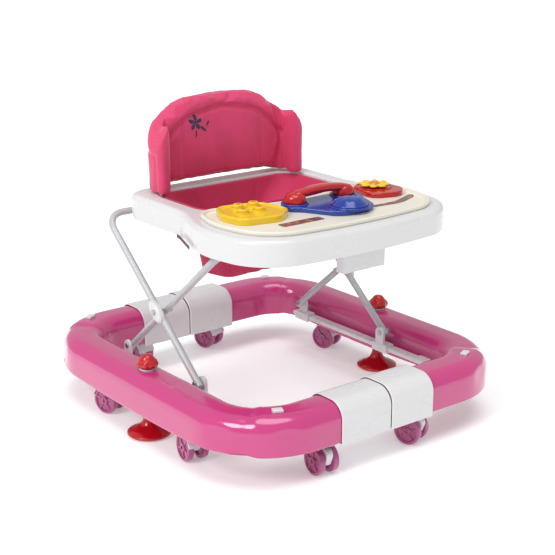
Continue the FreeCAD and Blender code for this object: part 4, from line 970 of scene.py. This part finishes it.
# ---------------------------------------------------------------- soft goods
BACK_LOW, BACK_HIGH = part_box("backrest_pad")
BACK_HALF = BACK_HIGH.x
BACK_BEND = 50 * MM
BACK_MID = 15 * MM
RIM_WIDTH = 37 * MM
PANEL_S = 88 * MM


def remeshed(node, voxel, shrink):
    """A copy of a CAD node as an even quad mesh, drawn in by a little."""
    bm = bmesh.new()
    bm.from_mesh(frame["nodes"][node].data)
    bmesh.ops.remove_doubles(bm, verts=bm.verts, dist=0.02 * MM)
    mesh = bpy.data.meshes.new(node + "_soft")
    bm.to_mesh(mesh)
    bm.free()
    piece = bpy.data.objects.new(node + "_soft", mesh)
    bpy.context.scene.collection.objects.link(piece)
    grid = piece.modifiers.new("Grid", "REMESH")
    grid.mode = "VOXEL"
    grid.voxel_size = voxel
    apply_modifiers(piece)
    smooth_mesh(piece, 0.5, 2)
    normals = [n.vector.copy() for n in piece.data.vertex_normals]
    for v, n in zip(piece.data.vertices, normals):
        v.co -= n * shrink
    return piece


def apply_modifiers(piece):
    """Keeps the evaluated mesh and drops the modifiers."""
    graph = bpy.context.evaluated_depsgraph_get()
    baked = bpy.data.meshes.new_from_object(piece.evaluated_get(graph))
    piece.modifiers.clear()
    old = piece.data
    piece.data = baked
    bpy.data.meshes.remove(old)


def smooth_mesh(piece, factor, rounds):
    bm = bmesh.new()
    bm.from_mesh(piece.data)
    for _ in range(rounds):
        bmesh.ops.smooth_vert(bm, verts=bm.verts, factor=factor, use_axis_x=True, use_axis_y=True,
                              use_axis_z=True)
    bm.to_mesh(piece.data)
    bm.free()


def inflate(piece, pressure, most):
    """Swells a closed cloth under pressure for twenty frames, then limits how far each point went."""
    scene = bpy.context.scene
    start = [v.co.copy() for v in piece.data.vertices]
    cloth = piece.modifiers.new("Cloth", "CLOTH")
    cloth.settings.use_pressure = True
    cloth.settings.uniform_pressure_force = pressure
    cloth.settings.quality = 4
    cloth.settings.tension_stiffness = 12
    cloth.settings.compression_stiffness = 12
    cloth.settings.shear_stiffness = 6
    cloth.settings.bending_stiffness = 0.4
    cloth.settings.effector_weights.gravity = 0
    cloth.point_cache.frame_start = 1
    cloth.point_cache.frame_end = 20
    for number in range(1, 21):
        scene.frame_set(number)
    apply_modifiers(piece)
    scene.frame_set(1)
    for v, old in zip(piece.data.vertices, start):
        moved = v.co - old
        if moved.length > most:
            v.co = old + moved * (most / moved.length)


def back_path(co):
    """Distance along the backrest's plan from its middle, and the way in towards the child."""
    bend_x = BACK_HALF - BACK_BEND
    bend_y = BACK_HIGH.y - BACK_BEND
    radius = BACK_BEND - BACK_MID
    if abs(co.x) < bend_x:
        return abs(co.x), Vector((0, -1, 0))
    if co.y < bend_y:
        return bend_x + radius * math.pi / 2 + bend_y - co.y, Vector((-math.copysign(1, co.x), 0, 0))
    angle = math.atan2(abs(co.x) - bend_x, co.y - bend_y)
    return bend_x + radius * angle, Vector((-math.copysign(math.sin(angle), co.x), -math.cos(angle), 0))


BACK_REACH = (BACK_HALF - BACK_BEND + (BACK_BEND - BACK_MID) * math.pi / 2
              + BACK_HIGH.y - BACK_BEND - BACK_LOW.y)


ARCH = [Vector(point) for point in in_mm([(172, 97), (105, 165), (0, 182)])]


def back_edge(co):
    """Distance from a point of the backrest to its arched outline or to the end of its wing."""
    spot = Vector((abs(co.x), co.z - BACK_LOW.z))
    blend = 8 * MM
    near = 0.0
    for first, second in zip(ARCH, ARCH[1:]):
        way = (second - first).normalized()
        near += math.exp(-(first - spot).dot(Vector((way.y, -way.x))) / blend)
    return min(-blend * math.log(near), BACK_REACH - back_path(co)[0])


def groove(distance, width, depth):
    return depth * math.exp(-(distance / width) ** 2)


def backrest(sizes):
    """Padded back: a stuffed border round a sewn panel, wrapped forward at both sides."""
    piece = remeshed("backrest_pad", sizes.voxel * 0.84, 2.5 * MM)
    inflate(piece, 4.0, sizes.puff)
    normals = [n.vector.copy() for n in piece.data.vertex_normals]
    for v, n in zip(piece.data.vertices, normals):
        along, inward = back_path(v.co)
        edge = back_edge(v.co)
        low = v.co.z - BACK_LOW.z
        facing = n.dot(inward)
        sunk = 0.0
        if facing > 0.1:
            sunk += groove(edge - RIM_WIDTH, 4 * MM, 6.5 * MM)
            inside = smooth_step(RIM_WIDTH, RIM_WIDTH + 8 * MM, edge)
            sunk += inside * groove(along - PANEL_S, 4.5 * MM, 3.5 * MM)
            sunk += inside * groove(along - PANEL_S * 0.36, 7 * MM, 1.6 * MM) * smooth_step(30 * MM,
                                                                                            90 * MM, low)
            sunk += 3 * MM * inside * smooth_step(24 * MM, 4 * MM, low) if low < 24 * MM else 0
            sunk -= inside * 3.2 * MM * groove(low - 70 * MM, 48 * MM, 1.0) * groove(along, 70 * MM, 1.0)
        else:
            sunk += groove(edge - 22 * MM, 3.5 * MM, 2.6 * MM)
        pucker = noise.noise(v.co * 62) * 0.9 * MM * (0.35 + groove(edge - RIM_WIDTH, 16 * MM, 1.0))
        v.co -= n * sunk
        v.co += n * (pucker + noise.noise(v.co * 17 + Vector((5, 2, 1))) * 1.1 * MM)
        v.co.z = max(v.co.z, TABLE_TOP + 0.7 * MM)
    finish_soft(piece, "backrest_cushion", "crimson_fabric", ["backrest_pad"])
    surface = BVHTree.FromObject(piece, bpy.context.evaluated_depsgraph_get())
    back_motif(surface)
    back_stitches(surface)


def finish_soft(piece, name, finish, nodes, levels=1):
    piece.name = name
    piece.data.name = name
    piece.data.materials.clear()
    piece.data.materials.append(FINISHES[finish])
    piece.data.shade_smooth()
    piece.data.update()
    if levels:
        subdivide(piece, levels)
    bpy.context.view_layer.update()
    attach(piece, "table")
    if nodes:
        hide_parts(*nodes)


def on_back(surface, x, z):
    """The point of the backrest's front face at this width and height, and its normal."""
    hit, normal, _, _ = surface.ray_cast(Vector((x, BACK_LOW.y - 60 * MM, z)), Y_AXIS)
    return hit, normal


def back_motif(surface):
    """A small plain embroidered blossom with a stem, on the upper left of the panel."""
    bm = bmesh.new()
    centre = Vector((-62 * MM, 0, BACK_LOW.z + 118 * MM))
    shapes = [(centre + Vector((9 * math.cos(t), 0, 9 * math.sin(t))) * MM, 6.2, 3.9, t)
              for t in [2 * math.pi * i / 5 + math.pi / 2 for i in range(5)]]
    shapes += [(centre, 3.2, 3.2, 0), (centre + Vector((17, 0, -13)) * MM, 9, 2.6, -0.7),
               (centre + Vector((28, 0, -4)) * MM, 6, 2.4, 0.9),
               (centre + Vector((1, 0, -21)) * MM, 8, 1.6, 1.5)]
    for spot, long_half, wide_half, angle in shapes:
        rings = []
        for reach, lift in ((1, -0.3), (0.92, 0.5), (0.6, 0.9)):
            points = []
            for t in [2 * math.pi * k / 20 for k in range(20)]:
                a, b = reach * long_half * MM * math.cos(t), reach * wide_half * MM * math.sin(t)
                hit, normal = on_back(surface, spot.x + a * math.cos(angle) - b * math.sin(angle),
                                      spot.z + a * math.sin(angle) + b * math.cos(angle))
                points.append(hit + normal * lift * MM)
            rings.append(section_loop(bm, points))
        bridge(bm, rings)
        cap(bm, rings[-1])
    return finish_piece("backrest_motif", bm, "motif_thread", "table", angle=80)


def back_stitches(surface):
    """Two rows of thread along the border seam, a few faces to a stitch."""
    bm = bmesh.new()
    pitch = 5.2 * MM
    for offset in (-4.6 * MM, 5.0 * MM):
        previous = None
        travelled = 0.0
        for i in range(-640, 641):
            x = i * 0.26 * MM
            z = seam_height(x, RIM_WIDTH + offset)
            if z is None:
                continue
            hit, normal = on_back(surface, x, z)
            if hit is None:
                continue
            if previous is None:
                previous = hit
                continue
            step = (hit - previous).length
            travelled += step
            if travelled >= pitch and step > 0:
                way = (hit - previous).normalized()
                stitch(bm, hit - way * 1.6 * MM, hit + way * 1.6 * MM, normal, 0.5 * MM)
                travelled = 0.0
            previous = hit
    return finish_piece("backrest_stitches", bm, "seam_thread", "table", angle=80)


def seam_height(x, edge):
    """Height on the backrest's front where the distance to the outline is the given one."""
    low, high = BACK_LOW.z + 6 * MM, BACK_HIGH.z
    y = BACK_HIGH.y - 30 * MM if abs(x) < BACK_HALF - BACK_BEND else None
    if y is None:
        radius = BACK_BEND - 30 * MM
        across = abs(x) - (BACK_HALF - BACK_BEND)
        if across >= radius * 0.97:
            return None
        y = BACK_HIGH.y - BACK_BEND + math.sqrt(radius * radius - across * across)
    for _ in range(18):
        middle = (low + high) / 2
        if back_edge(Vector((x, y, middle))) > edge:
            low = middle
        else:
            high = middle
    return low if low > BACK_LOW.z + 8 * MM else None


def stitch(bm, start, end, normal, radius):
    """A short six-sided bead of thread lying on the cloth."""
    way = (end - start).normalized()
    side = way.cross(normal).normalized()
    rings = []
    for share, wide in ((0, 0.35), (0.25, 1), (0.75, 1), (1, 0.35)):
        centre = start.lerp(end, share)
        rings.append(section_loop(bm, [centre + (side * math.cos(a) + normal * (math.sin(a) * 0.8 + 0.3)) *
                                       radius * wide for a in [math.pi * k / 3 for k in range(6)]]))
    bridge(bm, rings)
    cap(bm, rings[0])
    cap(bm, rings[-1])


def sling():
    """Hanging fabric seat with leg holes, soft folds and four sewn seams."""
    piece = remeshed("seat_sling", 3.2 * MM, 0.2 * MM)
    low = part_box("seat_sling")[0].z
    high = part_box("seat_sling")[1].z
    middle = Vector((0, (SEAT_FRONT + SEAT_REAR) / 2, 0))
    normals = [n.vector.copy() for n in piece.data.vertex_normals]
    for v, n in zip(piece.data.vertices, normals):
        share = (high - v.co.z) / (high - low)
        angle = math.atan2(v.co.y - middle.y, v.co.x)
        outward = Vector((math.cos(angle), math.sin(angle), 0))
        fold = math.sin(angle * 9 + 1.5 * noise.noise(v.co * 9)) * 2.2 * MM * smooth_step(0.15, 0.7, share)
        fold += noise.noise(v.co * 22) * 2.0 * MM * smooth_step(0.08, 0.4, share)
        v.co += outward * (fold - 1.0 * MM)
        v.co.z += noise.noise(v.co * 14) * 1.2 * MM * smooth_step(0.5, 1, share)
        v.co.z = max(v.co.z, low)
        seam = min(abs(abs(angle) - math.radians(48)), abs(abs(angle) - math.radians(132)))
        v.co -= n * groove(seam, math.radians(1.6), 1.4 * MM) * smooth_step(0.05, 0.15, share)
    finish_soft(piece, "seat_fabric", "lining", ["seat_sling"], levels=0)


def straps():
    """Webbing that hooks under the skirt on both sides."""
    # The webbing's dark maroon is partly painted shade: it is the seat fabric's look in shadow under the
    # skirt.
    return from_node("seat_straps", "maroon_webbing", 0.4 * MM, name="strap_webbing")


# ---------------------------------------------------------------- stage
def stage():
    """Pale floor, soft studio light and the camera at the catalogue angle."""
    scene = bpy.context.scene
    bm = bmesh.new()
    bmesh.ops.create_grid(bm, x_segments=1, y_segments=1, size=16)
    mesh = bpy.data.meshes.new("floor")
    bm.to_mesh(mesh)
    bm.free()
    floor = bpy.data.objects.new("floor", mesh)
    scene.collection.objects.link(floor)
    material, tree, shader, place = new_material("Paper sweep matt white")
    fibre = add(tree, "ShaderNodeTexNoise", {"Vector": place, "Scale": 1 / (4 * MM), "Detail": 2})
    tree.links.new(shades(tree, fibre.outputs["Fac"], linear("#F7F7F8"), 0.99, 1.01),
                   shader.inputs["Base Color"])
    shader.inputs["Roughness"].default_value = 0.85
    shader.inputs["Specular IOR Level"].default_value = 0.15
    shader.inputs["Emission Color"].default_value = (1, 1, 1, 1)
    shader.inputs["Emission Strength"].default_value = 0.25
    mesh.materials.append(material)

    world = bpy.data.worlds.new("Studio")
    scene.world = world
    world.use_nodes = True
    background = world.node_tree.nodes["Background"]
    background.inputs["Color"].default_value = (1, 1, 1, 1)
    background.inputs["Strength"].default_value = 0.5
    middle = Vector((0, 0, 0.2))
    for name, azimuth, height, soft, power in (("key", -84, 40, 25, 1.3), ("top", -20, 80, 40, 1.15)):
        lamp = bpy.data.lights.new(name, "SUN")
        lamp.angle = math.radians(soft)
        lamp.energy = power
        light = bpy.data.objects.new(name, lamp)
        scene.collection.objects.link(light)
        aim(light, middle, azimuth, height, 2.4)

    camera = bpy.data.cameras.new("camera")
    camera.lens = 85.0
    camera.sensor_width = 36
    view = bpy.data.objects.new("camera", camera)
    scene.collection.objects.link(view)
    aim(view, Vector((0, -0.022, 0.2455)), -38.02, 17.13, 2.4149)
    scene.camera = view
    scene.view_settings.view_transform = "Standard"


def aim(thing, target, azimuth, height, distance):
    """Puts a lamp or camera at an angle round a point, looking at it."""
    a, h = math.radians(azimuth), math.radians(height)
    offset = Vector((math.sin(a) * math.cos(h), -math.cos(a) * math.cos(h), math.sin(h)))
    thing.location = target + offset * distance
    thing.rotation_euler = (-offset).to_track_quat("-Z", "Y").to_euler()


# ---------------------------------------------------------------- operators
class StepOperator:
    """One step of the build, run from its own button."""
    bl_options = {"REGISTER"}

    def execute(self, context):
        self.build(context.scene.walker_colours, context.scene.walker_sizes)
        return {"FINISHED"}


class WALKER_OT_finishes(StepOperator, bpy.types.Operator):
    """Make every material"""
    bl_idname = "walker.finishes"
    bl_label = "Finishes"

    def build(self, colours, sizes):
        make_finishes(colours, sizes)


class WALKER_OT_stage(StepOperator, bpy.types.Operator):
    """Set the floor, the lights and the camera"""
    bl_idname = "walker.stage"
    bl_label = "Stage"

    def build(self, colours, sizes):
        stage()


class WALKER_OT_ring(StepOperator, bpy.types.Operator):
    """Mould both halves of the base and what is fixed to them"""
    bl_idname = "walker.ring"
    bl_label = "Ring base"

    def build(self, colours, sizes):
        for side in (-1, 1):
            ring_half(side, sizes)
        under_bosses()
        for node in ("front_sleeve", "front_collar", "rear_sleeve", "rear_collar"):
            band_sleeve(node)
        from_node("corner_caps", "hood_white", 0.6 * MM)
        from_node("base_screws", "steel", 0.4 * MM)


class WALKER_OT_casters(StepOperator, bpy.types.Operator):
    """Make the eight casters"""
    bl_idname = "walker.casters"
    bl_label = "Casters"

    def build(self, colours, sizes):
        for name in CASTERS:
            caster_fork(name)
            caster_wheel_pair(name)


class WALKER_OT_stoppers(StepOperator, bpy.types.Operator):
    """Turn the two stoppers and their guides"""
    bl_idname = "walker.stoppers"
    bl_label = "Stoppers"

    def build(self, colours, sizes):
        for side in (-1, 1):
            stopper(side)
        from_node("stopper_bushes", "white_gloss", 0.5 * MM)


class WALKER_OT_frames(StepOperator, bpy.types.Operator):
    """Bend both tube frames and fit their rails, shoes, covers and pins"""
    bl_idname = "walker.frames"
    bl_label = "Crossed frames"

    def build(self, colours, sizes):
        rear_pivot = Vector(joint("fold")["pos_m"])
        front_pivot = Vector(joint("shoe_level")["pos_m"])
        rear_bar = Vector(joint("table_level")["pos_m"])
        low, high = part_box("tube_frame_b")
        front_bar = Vector((0, low.y + sizes.tube_radius, high.z - sizes.tube_radius))
        bent_frame("frame_a_tube", "tube_frame_a", front_pivot, rear_bar, sizes)
        bent_frame("frame_b_tube", "tube_frame_b", rear_pivot, front_bar, sizes)
        for side in (-1, 1):
            hub_dome(side)
        for node in ("rail_left", "rail_right"):
            from_node(node, "white_gloss", 1.2 * MM)
        for node in ("rear_bracket_left", "rear_bracket_right", "front_shoe_left", "front_shoe_right"):
            from_node(node, "white_gloss", 1.0 * MM)
        for node in ("rear_pivot_pins", "shoe_pins", "hub_pins"):
            from_node(node, "steel", 0.5 * MM)


class WALKER_OT_table(StepOperator, bpy.types.Operator):
    """Form the seat table, its tray and what hangs under it"""
    bl_idname = "walker.table"
    bl_label = "Seat table"

    def build(self, colours, sizes):
        table_cover()
        toy_tray()
        for node in ("rear_clips", "height_racks", "height_adjuster"):
            from_node(node, "white_gloss", 0.9 * MM)


class WALKER_OT_toys(StepOperator, bpy.types.Operator):
    """Make the keypad, telephone, dome, flower and labels"""
    bl_idname = "walker.toys"
    bl_label = "Toys"

    def build(self, colours, sizes):
        keypad()
        cradle()
        handset()
        dial_dome()
        flower_toy()
        printed_strips()


class WALKER_OT_fabric(StepOperator, bpy.types.Operator):
    """Sew the backrest, the hanging seat and the straps"""
    bl_idname = "walker.fabric"
    bl_label = "Fabric"

    def build(self, colours, sizes):
        backrest(sizes)
        sling()
        straps()


STEPS = (WALKER_OT_finishes, WALKER_OT_stage, WALKER_OT_ring, WALKER_OT_casters, WALKER_OT_stoppers,
         WALKER_OT_frames, WALKER_OT_table, WALKER_OT_toys, WALKER_OT_fabric)


class WALKER_PT_build(bpy.types.Panel):
    """Sizes, colours and a button for each step"""
    bl_idname = "WALKER_PT_build"
    bl_label = "Baby Walker"
    bl_space_type = "VIEW_3D"
    bl_region_type = "UI"
    bl_category = "Walker"

    def draw(self, context):
        for group in (context.scene.walker_sizes, context.scene.walker_colours):
            for key in group.bl_rna.properties.keys():
                if key not in ("rna_type", "name"):
                    self.layout.prop(group, key)
        for step in STEPS:
            self.layout.operator(step.bl_idname)


CLASSES = (WalkerColours, WalkerSizes, *STEPS, WALKER_PT_build)


def register():
    for item in CLASSES:
        bpy.utils.register_class(item)
    bpy.types.Scene.walker_colours = bpy.props.PointerProperty(type=WalkerColours)
    bpy.types.Scene.walker_sizes = bpy.props.PointerProperty(type=WalkerSizes)


def unregister():
    del bpy.types.Scene.walker_sizes
    del bpy.types.Scene.walker_colours
    for item in reversed(CLASSES):
        bpy.utils.unregister_class(item)


def main():
    register()
    for step in STEPS:
        getattr(bpy.ops.walker, step.bl_idname.split(".")[1])()


if __name__ == "__main__":
    main()
